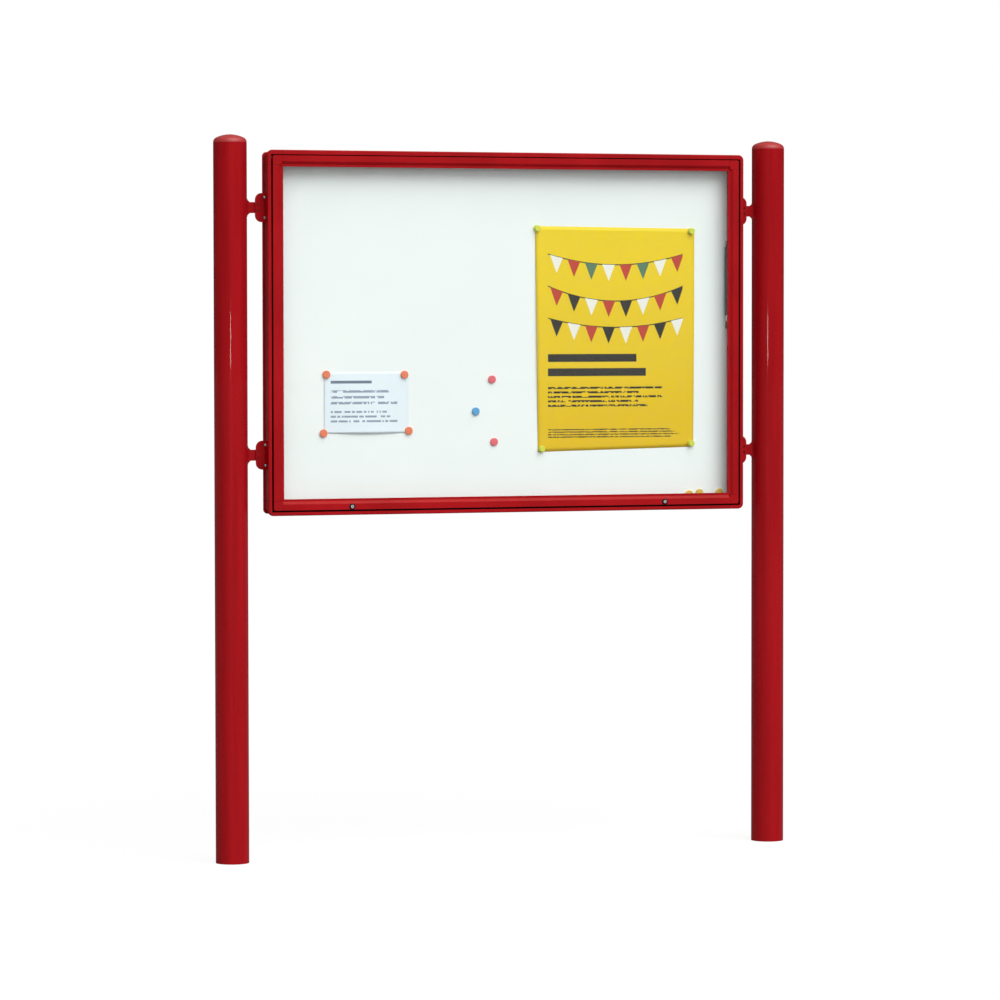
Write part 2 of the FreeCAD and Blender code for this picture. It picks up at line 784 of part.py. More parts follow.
def door_rails(frame):
    """The four hollow extruded sides of the door, with their bevelled sight edge."""
    seam = corner_reach + door_seam_gap
    chamber = band(chamber_outer, chamber_inner, chamber_front_wall, chamber_back, 0, 0)
    hollow = frame.cut([chamber, bevel_cutter()])
    bottom = hollow.common(level_region(-1, seam))
    for x in (-lock_offset, lock_offset):
        bottom = bottom.cut(rod_y(-overrun, door_depth + overrun, x, lock_z, lock_body_diameter))
    return {
        "door_top_rail": hollow.common(level_region(1, seam)),
        "door_bottom_rail": bottom,
        "door_left_stile": hollow.common(upright_region(-1, seam)),
        "door_right_stile": hollow.common(upright_region(1, seam)),
    }


def door_glass():
    """Toughened pane."""
    return plate(rebate_inset + glass_edge_clearance, 1.0, glass_front, glass_back)


def glazing_gasket():
    """Thin strip between the lip of the door and the pane."""
    return band(rebate_inset + glass_edge_clearance, glass_opening_inset - gasket_setback,
                rebate_front, glass_front, 1.0, 0)


def glazing_beads():
    """Four strips that clamp the pane from behind."""
    outer_x = case_width / 2 - rebate_inset
    outer_z = case_height / 2 - rebate_inset
    width = glass_rebate - bead_setback
    strips = []
    for side in (-1, 1):
        z = case_centre_z + side * outer_z
        strips.append(block(-outer_x, outer_x, glass_back, bead_back, z, z - side * width))
        x = side * outer_x
        strips.append(block(x, x - side * width, glass_back, bead_back,
                            case_centre_z - outer_z + width, case_centre_z + outer_z - width))
    return strips


def lock_body(x):
    """Threaded barrel of a cam lock."""
    body = rod_y(-lock_body_proud, door_depth + lock_body_tail, x, lock_z, lock_body_diameter)
    bore = rod_y(-overrun, door_depth + lock_body_tail + overrun, x, lock_z,
                 plug_diameter + 2 * plug_clearance)
    return body.cut(bore)


def lock_trim(x):
    """Black ring round the face of a lock."""
    ring = rod_y(-lock_trim_height, 0, x, lock_z, lock_trim_diameter)
    rim = edges_in_plane(ring, y_at(-lock_trim_height))
    ring = ring.makeChamfer(lock_trim_height / 2, rim)
    return ring.cut(rod_y(-overrun, overrun, x, lock_z, lock_body_diameter))


def lock_nut(x):
    """Nut that clamps a lock's barrel from behind."""
    outline = hexagon(lock_nut_across_flats, x, lock_z)
    nut = prism_xz(outline, door_depth, door_depth + lock_nut_height)
    return nut.cut(rod_y(0, door_depth + overrun, x, lock_z, lock_body_diameter))


def lock_plug(x):
    """Turning core of a lock: face with a keyway, barrel and square tail."""
    face = -lock_body_proud - plug_end_gap
    tail_start = door_depth + lock_body_tail + plug_end_gap
    half = plug_tail_square / 2
    head = rod_y(face - plug_head_height, face, x, lock_z, plug_head_diameter)
    barrel = rod_y(face, tail_start, x, lock_z, plug_diameter)
    tail = block(x - half, x + half, tail_start, cam_back(), lock_z - half, lock_z + half)
    keyway = block(x - keyway_width / 2, x + keyway_width / 2, face - plug_head_height - overlap,
                   face - plug_head_height + keyway_depth,
                   lock_z - keyway_height / 2, lock_z + keyway_height / 2)
    thread = rod_y(cam_back() - overrun, cam_back() + overrun, x, lock_z, cam_screw_diameter)
    return head.fuse([barrel, tail]).cut(keyway).cut(thread)


def cam_front():
    """Depth of the face of the cam that bears on the strike."""
    return ledge_back + strike_thickness + cam_running_gap


def cam_back():
    """Depth of the rear face of the cam."""
    return cam_front() + cam_thickness


def lock_cam(x):
    """Flat cam, upright when the lock is open."""
    half = cam_width / 2
    shape = block(x - half, x + half, cam_front(), cam_back(), lock_z - cam_tail,
                  lock_z + cam_reach)
    shape = shape.makeFillet(half - 1, edges_along(shape, Vector(0, 1, 0)))
    square = plug_tail_square / 2
    return shape.cut(block(x - square, x + square, cam_front() - overlap, cam_back() + overlap,
                           lock_z - square, lock_z + square))


def cam_screw(x):
    """Screw and washer-face head that hold the cam on its tail."""
    shank = rod_y(cam_back() - overrun, cam_back(), x, lock_z, cam_screw_diameter)
    head = rod_y(cam_back(), cam_back() + cam_screw_head_height, x, lock_z,
                 cam_screw_head_diameter)
    return shank.fuse(head)


def strut_tube():
    """Pressure tube of the right strut, closed by its gland at the lower end."""
    tube = rod_z(strut_tube_bottom_z, strut_tube_top_z, strut_offset, strut_depth,
                 strut_tube_diameter)
    ends = [e for e in tube.Edges if len(e.Vertexes) == 1]
    tube = tube.makeFillet(strut_tube_edge_radius, ends)
    bore = rod_z(strut_tube_bottom_z + strut_gland_length, strut_tube_top_z - strut_tube_end,
                 strut_offset, strut_depth, strut_bore_diameter)
    gland = rod_z(strut_tube_bottom_z - overlap, strut_tube_bottom_z + strut_gland_length + overlap,
                  strut_offset, strut_depth, strut_rod_diameter + 2 * strut_running_clearance)
    return tube.cut(bore).cut(gland)


def strut_eye():
    """Upper end fitting of the right strut, pivoting on the door's pin."""
    half = eye_thickness / 2
    disc = rod_x(strut_offset - half, strut_offset + half, strut_depth, strut_top_z,
                 2 * eye_radius)
    shank = rod_z(strut_tube_top_z, strut_top_z, strut_offset, strut_depth, eye_shank_diameter)
    shank = shank.common(block(strut_offset - half, strut_offset + half, 0, case_depth,
                               strut_tube_top_z, strut_top_z))
    hole = rod_x(strut_offset - overrun, strut_offset + overrun, strut_depth, strut_top_z,
                 strut_pin_diameter + 2 * strut_running_clearance)
    return disc.fuse(shank).cut(hole)


def strut_rod():
    """Polished rod of the right strut with its piston."""
    top = strut_tube_top_z - strut_tube_end - strut_piston_top_gap
    rod = rod_z(strut_foot_z + foot_length - overrun, top, strut_offset, strut_depth,
                strut_rod_diameter)
    piston = rod_z(top - strut_piston_length, top, strut_offset, strut_depth,
                   strut_piston_diameter)
    return rod.fuse(piston)


def strut_foot():
    """Lower end fitting of the right strut, with the stub that meets the case's plate."""
    half = eye_thickness / 2
    disc = rod_x(strut_offset - half, strut_offset + half, strut_depth, strut_foot_z,
                 2 * eye_radius - 1)
    stub = rod_x(strut_offset, strut_plate_x - strut_side_gap, strut_depth, strut_foot_z,
                 strut_pin_diameter)
    shank = rod_z(strut_foot_z, strut_foot_z + foot_length, strut_offset, strut_depth,
                  foot_diameter)
    socket = rod_z(strut_foot_z + foot_length - overrun, strut_foot_z + foot_length + overlap,
                   strut_offset, strut_depth, strut_rod_diameter)
    return disc.fuse([stub, shank]).cut(socket)


def small_screw(front, head_front, x, z):
    """Screw along Y whose head lies at the back."""
    shank = rod_y(front, head_front, x, z, small_screw_diameter)
    head = rod_y(head_front, head_front + small_screw_head_height, x, z, small_screw_head)
    return shank.fuse(head)


def strut_screw_heights(height):
    """Heights of the two screws of a strut's bracket."""
    offset = strut_base_half_height - small_screw_head
    return (height - offset, height + offset)


def door_strut_bracket():
    """Angle on the back of the right stile with the pin that the strut turns on."""
    back = door_depth + strut_base_thickness
    base_x = case_width / 2 - rebate_inset
    plate_end = strut_plate_x + strut_plate_thickness
    base = block(base_x, plate_end, door_depth, back,
                 strut_top_z - strut_base_half_height, strut_top_z + strut_base_half_height)
    web = block(strut_plate_x, plate_end, door_depth, strut_depth + strut_plate_reach,
                strut_top_z - strut_plate_half_height, strut_top_z + strut_plate_half_height)
    pin = rod_x(strut_offset - eye_thickness / 2 - 2, plate_end - overlap / 2, strut_depth, strut_top_z,
                strut_pin_diameter)
    collar = rod_x(strut_offset + eye_thickness / 2 + strut_side_gap, strut_plate_x + overlap / 2,
                   strut_depth, strut_top_z, strut_collar_diameter)
    shape = base.fuse([web, pin, collar])
    for z in strut_screw_heights(strut_top_z):
        shape = shape.cut(rod_y(door_depth - overlap, back + overlap, door_screw_x(), z,
                                small_screw_diameter))
    return shape


def door_screw_x():
    """X of the screws that hold the right door bracket."""
    return case_width / 2 - rebate_inset + small_screw_head / 2 + 0.1


def case_strut_bracket():
    """Angle behind the ledge of the right stile that carries the foot of the strut."""
    back = ledge_back + strut_base_thickness
    base_end = wall_inner_x - 2
    plate_end = strut_plate_x + strut_plate_thickness
    base = block(strut_plate_x, base_end, ledge_back, back,
                 strut_foot_z - strut_base_half_height, strut_foot_z + strut_base_half_height)
    web = block(strut_plate_x, plate_end, ledge_back, strut_depth + strut_plate_reach,
                strut_foot_z - strut_plate_half_height, strut_foot_z + strut_plate_half_height)
    shape = base.fuse(web)
    for z in strut_screw_heights(strut_foot_z):
        shape = shape.cut(rod_y(ledge_back - overlap, back + overlap, case_screw_x(), z,
                                small_screw_diameter))
    return shape


def case_screw_x():
    """X of the screws that hold the right case bracket, whose ends lie under the seal."""
    return case_width / 2 - case_screw_inset


def drill_small_holes(rails, name, x, front, back, heights):
    """Screw holes in a stile, in line with a bracket's."""
    for z in heights:
        hole = rod_y(front, back, x, z, small_screw_diameter)
        rails[name] = rails[name].cut(hole)


def paper(x, z, width, height):
    """Flat sheet on the board, from its lower left corner."""
    return block(x, x + width, board_front - sheet_thickness, board_front, z, z + height)


def sheet_corners(x, z, width, height, top_insets, foot_insets):
    """Centres of the four magnets near the corners of a sheet."""
    places = []
    for level, insets in ((1, top_insets), (-1, foot_insets)):
        edge = z + height if level > 0 else z
        left, right = insets
        places.append((x + left[0], edge - level * left[1]))
        places.append((x + width - right[0], edge - level * right[1]))
    return places


def magnet(place, lift):
    """Round magnet with a softly domed face, on the board or on a sheet."""
    x, z = place
    back = board_front - lift
    disc = rod_y(back - magnet_height, back, x, z, magnet_diameter)
    return disc.makeFillet(magnet_height / 3, edges_in_plane(disc, y_at(back - magnet_height)))


def pin_magnet(place, lift):
    """Magnet with a waisted grip, as a large push pin has."""
    x, z = place
    back = board_front - lift
    waist = back - pin_magnet_height * pin_waist_level
    base = rod_y(waist, back, x, z, pin_magnet_diameter * pin_waist_share)
    foot = rod_y(back - pin_magnet_height * pin_foot_level, back, x, z, pin_magnet_diameter)
    grip = rod_y(back - pin_magnet_height, waist, x, z, pin_magnet_diameter * pin_grip_share)
    grip = grip.makeFillet(pin_edge_radius, edges_in_plane(grip, y_at(back - pin_magnet_height)))
    return base.fuse([foot, grip]).removeSplitter()


def save(name, shapes):
    """Write one sub-part, a single solid or a group of separate ones."""
    shape = shapes if isinstance(shapes, Part.Shape) else Part.makeCompound(shapes)
    shape.exportStep("parts/" + name + ".step")
    print(name, len(shape.Solids), round(shape.Volume))


def save_posts():
    for side, word in ((-1, "left"), (1, "right")):
        save(word + "_post", post(side))
        save(word + "_post_cap", post_cap(side))
    save("post_lugs", [s for z in bracket_heights for s in both_sides(post_lug(z))])


def save_brackets():
    save("case_brackets", [s for z in bracket_heights for s in both_sides(case_bracket(z))])
    lug_z = [z for height in bracket_heights for z in lug_bolt_heights(height)]
    case_z = [z for height in bracket_heights for z in case_bolt_heights(height)]
    save("lug_bolts", [s for z in lug_z for s in both_sides(lug_bolt(z))])
    save("lug_nuts", [s for z in lug_z for s in both_sides(lug_nut(z))])
    save("bracket_screws", [s for z in case_z for s in both_sides(case_screw(z))])
    save("bracket_screw_nuts", [s for z in case_z for s in both_sides(case_nut(z))])


def save_casing():
    frame = casing_frame()
    rails = casing_rails(frame)
    heights = strut_screw_heights(strut_foot_z)
    for name, side in (("casing_left_stile", -1), ("casing_right_stile", 1)):
        drill_small_holes(rails, name, side * case_screw_x(), ledge_front - overlap,
                          ledge_back + overlap, heights)
    for name in rails:
        save(name, rails[name])
    save("casing_corners", [casing_corner(frame, sx, sz) for sx, sz in corner_signs()])
    save("casing_seam_gaskets", seam_gaskets(frame))
    save("hinge_bushes", [hinge_bush(side) for side in (-1, 1)])
    save("door_seal", door_seal())
    save("lock_strikes", both_sides(lock_strike()))
    save("case_strut_brackets", both_sides(case_strut_bracket()))
    back = ledge_back + strut_base_thickness
    screws = [small_screw(ledge_front, back, case_screw_x(), z) for z in heights]
    save("case_strut_screws", [s for screw in screws for s in both_sides(screw)])


def save_back():
    save("magnetic_board_face", board_sheet(board_inset, board_front, core_front, False))
    save("board_core", board_sheet(board_inset, core_front, flange_front, True))
    save("back_panel", board_sheet(board_inset, panel_front, panel_back, True))
    save("back_rivets", [back_rivet(x, z) for x, z in rivet_places()])


def save_door():
    frame = door_frame()
    rails = door_rails(frame)
    heights = strut_screw_heights(strut_top_z)
    for name, side in (("door_left_stile", -1), ("door_right_stile", 1)):
        drill_small_holes(rails, name, side * door_screw_x(), door_depth - small_screw_grip,
                          door_depth + overlap, heights)
    for name in rails:
        save(name, rails[name])
    save("door_corners", [door_corner(frame, sx, sz) for sx, sz in corner_signs()])
    save("door_glass", door_glass())
    save("glazing_gasket", glazing_gasket())
    save("glazing_beads", glazing_beads())
    save("hinge_pins", [hinge_pin(side) for side in (-1, 1)])
    save("door_strut_brackets", both_sides(door_strut_bracket()))
    back = door_depth + strut_base_thickness
    screws = [small_screw(door_depth - small_screw_grip, back, door_screw_x(), z)
              for z in heights]
    save("door_strut_screws", [s for screw in screws for s in both_sides(screw)])
    save("lock_bodies", [lock_body(x) for x in (-lock_offset, lock_offset)])
    save("lock_trim_rings", [lock_trim(x) for x in (-lock_offset, lock_offset)])
    save("lock_nuts", [lock_nut(x) for x in (-lock_offset, lock_offset)])


def save_moving():
    for side, word in ((-1, "left"), (1, "right")):
        x = side * lock_offset
        save(word + "_lock_plug", lock_plug(x))
        save(word + "_lock_cam", lock_cam(x))
        save(word + "_cam_screw", cam_screw(x))
    pieces = {"tube": strut_tube(), "eye": strut_eye(), "rod": strut_rod(), "foot": strut_foot()}
    for name, shape in pieces.items():
        save("left_strut_" + name, mirrored(shape))
        save("right_strut_" + name, shape)


def save_display():
    save("notice_sheet", paper(notice_x, notice_z, notice_width, notice_height))
    save("poster_sheet", paper(poster_x, poster_z, poster_width, poster_height))
    notice_corners = sheet_corners(notice_x, notice_z, notice_width, notice_height,
                                   orange_top_insets, orange_foot_insets)
    poster_corners = sheet_corners(poster_x, poster_z, poster_width, poster_height,
                                   lime_top_insets, lime_foot_insets)
    save("orange_magnets", [magnet(place, sheet_thickness) for place in notice_corners])
    save("lime_pin_magnets", [pin_magnet(place, sheet_thickness) for place in poster_corners])
    reds = [(x, case_ground_gap + z) for x, z in zip(red_middle_offsets, red_heights)]
    save("red_magnets", [magnet(place, 0) for place in reds])
    save("blue_magnet", magnet((blue_middle_offset, case_ground_gap + blue_height), 0))
    ochres = [(case_width / 2 - gap, case_ground_gap + height)
              for gap, height in zip(ochre_right_gaps, ochre_heights)]
    save("ochre_magnets", [magnet(place, 0) for place in ochres])


os.makedirs("parts", exist_ok=True)
save_posts()
save_brackets()
save_casing()
save_back()
save_door()
save_moving()
save_display()
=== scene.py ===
from collections import namedtuple
import json
import math

import bmesh
import bpy
from mathutils import Matrix, Vector


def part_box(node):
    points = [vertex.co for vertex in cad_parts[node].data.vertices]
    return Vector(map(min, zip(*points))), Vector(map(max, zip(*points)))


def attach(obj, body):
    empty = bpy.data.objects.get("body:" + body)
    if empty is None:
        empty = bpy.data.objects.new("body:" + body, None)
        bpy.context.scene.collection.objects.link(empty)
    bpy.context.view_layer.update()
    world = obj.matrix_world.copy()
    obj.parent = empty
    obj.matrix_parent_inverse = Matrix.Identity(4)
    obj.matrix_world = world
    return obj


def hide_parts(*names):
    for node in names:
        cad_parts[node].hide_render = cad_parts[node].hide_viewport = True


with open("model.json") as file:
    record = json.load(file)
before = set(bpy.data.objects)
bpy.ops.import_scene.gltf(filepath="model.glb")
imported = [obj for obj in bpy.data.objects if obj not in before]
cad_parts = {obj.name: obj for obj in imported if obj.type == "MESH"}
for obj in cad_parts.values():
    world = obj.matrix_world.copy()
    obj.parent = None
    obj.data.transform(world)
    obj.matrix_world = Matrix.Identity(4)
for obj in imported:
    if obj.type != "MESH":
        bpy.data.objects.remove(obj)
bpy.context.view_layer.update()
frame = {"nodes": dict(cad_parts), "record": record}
nodes = frame["nodes"]

# Lengths are in metres and angles in degrees. The board faces -Y and up is +Z.
X, Y, Z = 0, 1, 2
MM = 0.001

# The camera stands in front and to the left of the board, level with its middle, with a long lens.
CAMERA_PLACE = Vector((-4.0424, -11.6587, 1.4920))
CAMERA_YAW = 19.058
CAMERA_PITCH = -2.34
CAMERA_ROLL = -0.071
CAMERA_LENS = 158.64
CAMERA_REACH = 200
SENSOR_WIDTH = 36.0

# Red paint: its tones, the tint of its sheen, and the depth of its fine and its broad peel.
RED_DEEP = (0.312, 0.0036, 0.0070)
RED_FRESH = (0.378, 0.0050, 0.0092)
RED_DUSTY = (0.46, 0.045, 0.045)
RED_SHEEN = (1, 0.8, 0.62)
PEEL_FINE = 0.00012
PEEL_BROAD = 0.0004

# Painted shade in the slot between case and door: its tone and cover, how far in from the case's
# outside the slot's middle lies, half its width, the depth where the shade starts, where it is full
# and ends.
GAP_SHADE_TONE = (0.006, 0.002, 0.002)
GAP_SHADE_COVER = 0.97
GAP_INSET = 0.0125
GAP_HALF = 0.0044
GAP_STARTS = 0.0008
GAP_FULL = 0.0060
GAP_ENDS = 0.020

# Face of a lock: the radius of its bright core, and the width of the core's edge.
LOCK_CORE = 0.0046
LOCK_EDGE = 0.0002
LOCK_BLACK = (0.008, 0.008, 0.009)

# A block of plain bars in place of print. edge is how far its first row lies from the sheet's head
# or foot; length is its longest bar and shortest the shortest bar's share of that; fill is how much
# of a row's pitch the bar takes; word is the length of its broken runs, and seed picks the lengths.
Block = namedtuple("Block", "edge length pitch rows fill shortest seed word")
NOTICE_TONE = (0.81, 0.885, 0.95)
NOTICE_HEADING_INK = (0.17, 0.20, 0.28)
NOTICE_SMALL_INK = (0.30, 0.35, 0.45)
NOTICE_MARGIN = 0.020
NOTICE_HEADING = Block(0.022, 0.120, 0.012, 1, 0.66, 0.95, 3.0, None)
NOTICE_SMALL = (Block(0.046, 0.205, 0.0160, 3, 0.42, 0.72, 11.0, 0.0042),
                Block(0.104, 0.205, 0.0130, 3, 0.42, 0.72, 23.0, 0.0042))
POSTER_HEAD_TONE = (0.88, 0.64, 0.004)
POSTER_FOOT_TONE = (0.78, 0.50, 0.003)
POSTER_MARGIN = 0.034
POSTER_HEADING = Block(0.278, 0.300, 0.040, 2, 0.55, 0.75, 5.0, None)
POSTER_SMALL = (Block(0.180, 0.360, 0.0125, 5, 0.46, 0.75, 17.0, 0.0040),
                Block(0.060, 0.400, 0.0070, 4, 0.50, 0.90, 41.0, 0.0024))
PENNANT_CREAM = (0.86, 0.84, 0.76)
PENNANT_DARK = (0.030, 0.026, 0.022)
PENNANT_CLAY = (0.52, 0.055, 0.030)
PENNANT_LEAF = (0.10, 0.20, 0.12)

# Garlands on the poster: how far the ends of each lie below its head, and how far it sags.
GARLANDS = ((0.075, 0.030), (0.165, 0.042), (0.255, 0.026))
GARLAND_CORD_HALF = 0.0016
PENNANT_PITCH = 0.052
PENNANT_DROP = 0.046
PENNANT_HALF = 0.019

# The papers: how thick they are, how far they stand off the board, and how many faces they have.
# The poster is trimmed out of square; its corners' shifts across and up are in millimetres, left
# and right at the foot, then at the head.
SHEET_THICKNESS = 0.0003
SQUARE = ((0, 0), (0, 0), (0, 0), (0, 0))
NOTICE_FOOT_BELLY = 0.0055
NOTICE_BELLY = 0.0018
NOTICE_FACES = (40, 28)
POSTER_SHIFTS = ((3.9, -5.3), (-1.5, 4.7), (-4.1, 3.0), (1.5, -1.9))
POSTER_FOLDS = 0.0016
POSTER_LEFT_CURL = 0.0050
POSTER_RIGHT_CURL = 0.0022
POSTER_CURL_REACH = 0.05
POSTER_FACES = (40, 54)

# Fasteners and welds.
BOLT_HEAD_HEIGHT = 0.0028
BOLT_SHANK = 0.004
LUG_BOLT_HEAD = 0.0090
LUG_BOLT_LENGTH = 0.0215
BRACKET_BOLT_HEAD = 0.0075
BRACKET_BOLT_LENGTH = 0.0127
RIVET_HEAD = 0.009
RIVET_HEIGHT = 0.0014
ROUND_SIDES = 12
WELD_RADIUS = 0.0026
WELD_SIDES = 8
WELD_STEPS_UP = 18
WELD_STEPS_ACROSS = 4
WELD_UNEVEN = 0.22

# Lamps. Each sun has where it comes from, how wide it is in degrees, and its strength.
KEY = ((0.22, -0.61, 0.76), 56, 2.6)
KEY_COLOUR = (1.0, 0.985, 0.965)
FILL_COLOUR = (1.0, 1.0, 1.0)
FILLS = {
    "front_fill": ((0.02, -0.97, 0.2), 110, 1.4),
    "right_fill": ((0.85, -0.49, 0.15), 60, 0.25),
    "left_fill": ((-0.98, 0.09, 0.15), 60, 0.25),
    "back_fill": ((0.15, 0.97, 0.2), 80, 1.3),
}
FLASH_PLACE = (-4.1, -11.9, 1.38)
FLASH_AIM = (0, 0, 1.5)
FLASH_WIDTH = 1.4
FLASH_HEIGHT = 0.28
FLASH_POWER = 40

# Studio air: the colours near the horizon and overhead, the heights between which they change, and
# the strength. The first lights the board, and the second is what its paint mirrors.
Air = namedtuple("Air", "low_colour high_colour low high strength")
AIR_LIGHT = Air((0.97, 0.985, 1.0), (0.30, 0.31, 0.32), 0.0, 0.6, 0.55)
AIR_MIRRORED = Air((0.06, 0.06, 0.065), (1.0, 1.02, 1.06), 0.28, 0.85, 0.45)

# A ray that has passed the pane alone has bounced fewer times than this.
PANE_BOUNCES = 2.5

# Floor: half its side, how far it lies below the posts' feet, its own glow, the share of real shade
# in it, and its tone where it is seen and where it only lights the board.
FLOOR_HALF = 90.0
FLOOR_DROP = 0.0005
FLOOR_GLOW = 1.01
FLOOR_SHADE = 0.10
FLOOR_PALE = 0.92
FLOOR_DIM = 0.22

# Sockets that the program tells apart by number only: of its colour mixer, and of its random value.
MIX_AMOUNT, MIX_FIRST, MIX_SECOND, MIX_COLOUR = 0, 6, 7, 2
RANDOM_LEAST, RANDOM_MOST, RANDOM_NUMBER = 2, 3, 1


def new_object(name, data):
    """Object in the scene that shows some data."""
    item = bpy.data.objects.new(name, data)
    bpy.context.scene.collection.objects.link(item)
    return item


def make_camera():
    """Camera at the photograph's place and angle."""
    yaw, pitch, roll = (math.radians(a) for a in (CAMERA_YAW, CAMERA_PITCH, CAMERA_ROLL))
    forward = Vector((math.sin(yaw) * math.cos(pitch), math.cos(yaw) * math.cos(pitch),
                      math.sin(pitch)))
    level = Vector((math.cos(yaw), -math.sin(yaw), 0))
    up = level.cross(forward)
    right = level * math.cos(roll) + up * math.sin(roll)
    top = up * math.cos(roll) - level * math.sin(roll)
    data = bpy.data.cameras.new("photo_camera")
    data.lens = CAMERA_LENS
    data.sensor_width = SENSOR_WIDTH
    data.clip_end = CAMERA_REACH
    camera = new_object("photo_camera", data)
    turn = Matrix((right, top, -forward)).transposed().to_4x4()
    camera.matrix_world = Matrix.Translation(CAMERA_PLACE) @ turn
    bpy.context.scene.camera = camera


class Finish:
    """One material, with short ways to write its nodes."""

    def __init__(self, name):
        self.material = bpy.data.materials.new(name)
        self.material.use_nodes = True
        self.tree = self.material.node_tree
        self.tree.nodes.clear()
        self.output = self.tree.nodes.new("ShaderNodeOutputMaterial")

    def add(self, kind, **settings):
        """New node of a kind."""
        node = self.tree.nodes.new("ShaderNode" + kind)
        for key, value in settings.items():
            setattr(node, key, value)
        return node

    def join(self, source, target):
        """Link from one node's socket to another's."""
        self.tree.links.new(source, target)

    def feed(self, target, value):
        """Give a socket its value: another socket's, a colour or a plain number."""
        if isinstance(value, bpy.types.NodeSocket):
            self.join(value, target)
        elif isinstance(value, tuple):
            target.default_value = (*value, 1)
        else:
            target.default_value = value

    def place(self, stretch=(1, 1, 1)):
        """Place on the piece, stretched."""
        coordinates, mapping = self.add("TexCoord"), self.add("Mapping")
        mapping.inputs["Scale"].default_value = stretch
        self.join(coordinates.outputs["Object"], mapping.inputs["Vector"])
        return mapping.outputs["Vector"]

    def noise(self, size, detail, stretch=(1, 1, 1), rough=0.5):
        """Noise with features of about this size."""
        node = self.add("TexNoise")
        node.inputs["Scale"].default_value = 1 / size
        node.inputs["Detail"].default_value = detail
        node.inputs["Roughness"].default_value = rough
        self.join(self.place(stretch), node.inputs["Vector"])
        return node.outputs["Fac"]

    def level(self, source, low, high, to_low=0.0, to_high=1.0):
        """Stretch a value from between two limits to between two others, and no further."""
        node = self.add("MapRange")
        node.inputs["From Min"].default_value = low
        node.inputs["From Max"].default_value = high
        node.inputs["To Min"].default_value = to_low
        node.inputs["To Max"].default_value = to_high
        self.join(source, node.inputs["Value"])
        return node.outputs["Result"]

    def blend(self, amount, first, second):
        """Mix two colours by an amount."""
        node = self.add("Mix", data_type="RGBA")
        self.feed(node.inputs[MIX_AMOUNT], amount)
        self.feed(node.inputs[MIX_FIRST], first)
        self.feed(node.inputs[MIX_SECOND], second)
        return node.outputs[MIX_COLOUR]

    def work(self, operation, *values):
        """One step of arithmetic on one, two or three values."""
        node = self.add("Math", operation=operation)
        for target, value in zip(node.inputs, values):
            self.feed(target, value)
        return node.outputs[0]

    def within(self, value, middle, half):
        """1 where a value lies within half of a middle, else 0."""
        return self.work("COMPARE", value, middle, half)

    def axes(self, vector):
        """X, Y and Z of a vector."""
        node = self.add("SeparateXYZ")
        self.join(vector, node.inputs[0])
        return node.outputs[X], node.outputs[Y], node.outputs[Z]

    def all_of(self, *masks):
        """Product of several masks."""
        total = masks[0]
        for mask in masks[1:]:
            total = self.work("MULTIPLY", total, mask)
        return total

    def chance(self, dimensions, **places):
        """A random number for each place, from 0 to 1."""
        node = self.add("TexWhiteNoise", noise_dimensions=dimensions)
        for label, source in places.items():
            self.join(source, node.inputs[label])
        return node.outputs["Value"]

    def bars(self, x, z, left, top, block):
        """Rows of plain bars of uneven length, or of broken ones, in place of lines of print."""
        turn = self.work("DIVIDE", self.work("SUBTRACT", top, z), block.pitch)
        row = self.work("FLOOR", turn)
        draw = self.chance("1D", W=self.work("ADD", row, block.seed))
        length = self.level(draw, 0, 1, block.shortest * block.length, block.length)
        half = self.work("MULTIPLY", length, 0.5)
        mask = self.all_of(self.within(self.work("FRACT", turn), 0.5, block.fill / 2),
                           self.within(turn, block.rows / 2, block.rows / 2),
                           self.within(x, self.work("ADD", half, left), half))
        return self.broken(mask, x, z, block) if block.word else mask

    def broken(self, mask, x, z, block):
        """Bars broken into runs and gaps, as words are."""
        row = self.work("FLOOR", self.work("DIVIDE", z, block.pitch))
        step = self.work("FLOOR", self.work("DIVIDE", x, block.word))
        point = self.add("CombineXYZ")
        self.join(step, point.inputs[X])
        self.join(self.work("ADD", row, block.seed), point.inputs[Y])
        draw = self.chance("2D", Vector=point.outputs[0])
        return self.all_of(mask, self.level(draw, 0.20, 0.24))

    def bump(self, source, strength, distance, onto=None):
        """Small relief from a height, onto another relief if there is one."""
        node = self.add("Bump")
        node.inputs["Strength"].default_value = strength
        node.inputs["Distance"].default_value = distance
        self.join(source, node.inputs["Height"])
        if onto is not None:
            self.join(onto, node.inputs["Normal"])
        return node.outputs["Normal"]

    def surface(self, colour, rough, relief=None, **values):
        """The surface shader, with its plain values set on its own sockets."""
        shader = self.add("BsdfPrincipled")
        self.feed(shader.inputs["Base Color"], colour)
        self.feed(shader.inputs["Roughness"], rough)
        if relief is not None:
            self.join(relief, shader.inputs["Normal"])
        for label, value in values.items():
            self.feed(shader.inputs[label.replace("_", " ")], value)
        self.join(shader.outputs[0], self.output.inputs["Surface"])
        return shader


def painted_gap_shade(f):
    """How much painted shade a place gets: full in the slot between case and door, in front of the
    seal.
    """
    low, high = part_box("casing_corners")
    x, y, z = f.axes(f.place())
    middle, half = (low[Z] + high[Z]) / 2, (high[Z] - low[Z]) / 2
    from_side = f.work("SUBTRACT", high[X], f.work("ABSOLUTE", x))
    from_end = f.work("SUBTRACT", half, f.work("ABSOLUTE", f.work("SUBTRACT", z, middle)))
    inset = f.work("MINIMUM", from_side, from_end)
    deep = f.level(y, low[Y] + GAP_STARTS, low[Y] + GAP_FULL)
    return f.all_of(f.within(inset, GAP_INSET, GAP_HALF), deep,
                    f.within(y, low[Y] + GAP_ENDS / 2, GAP_ENDS / 2))


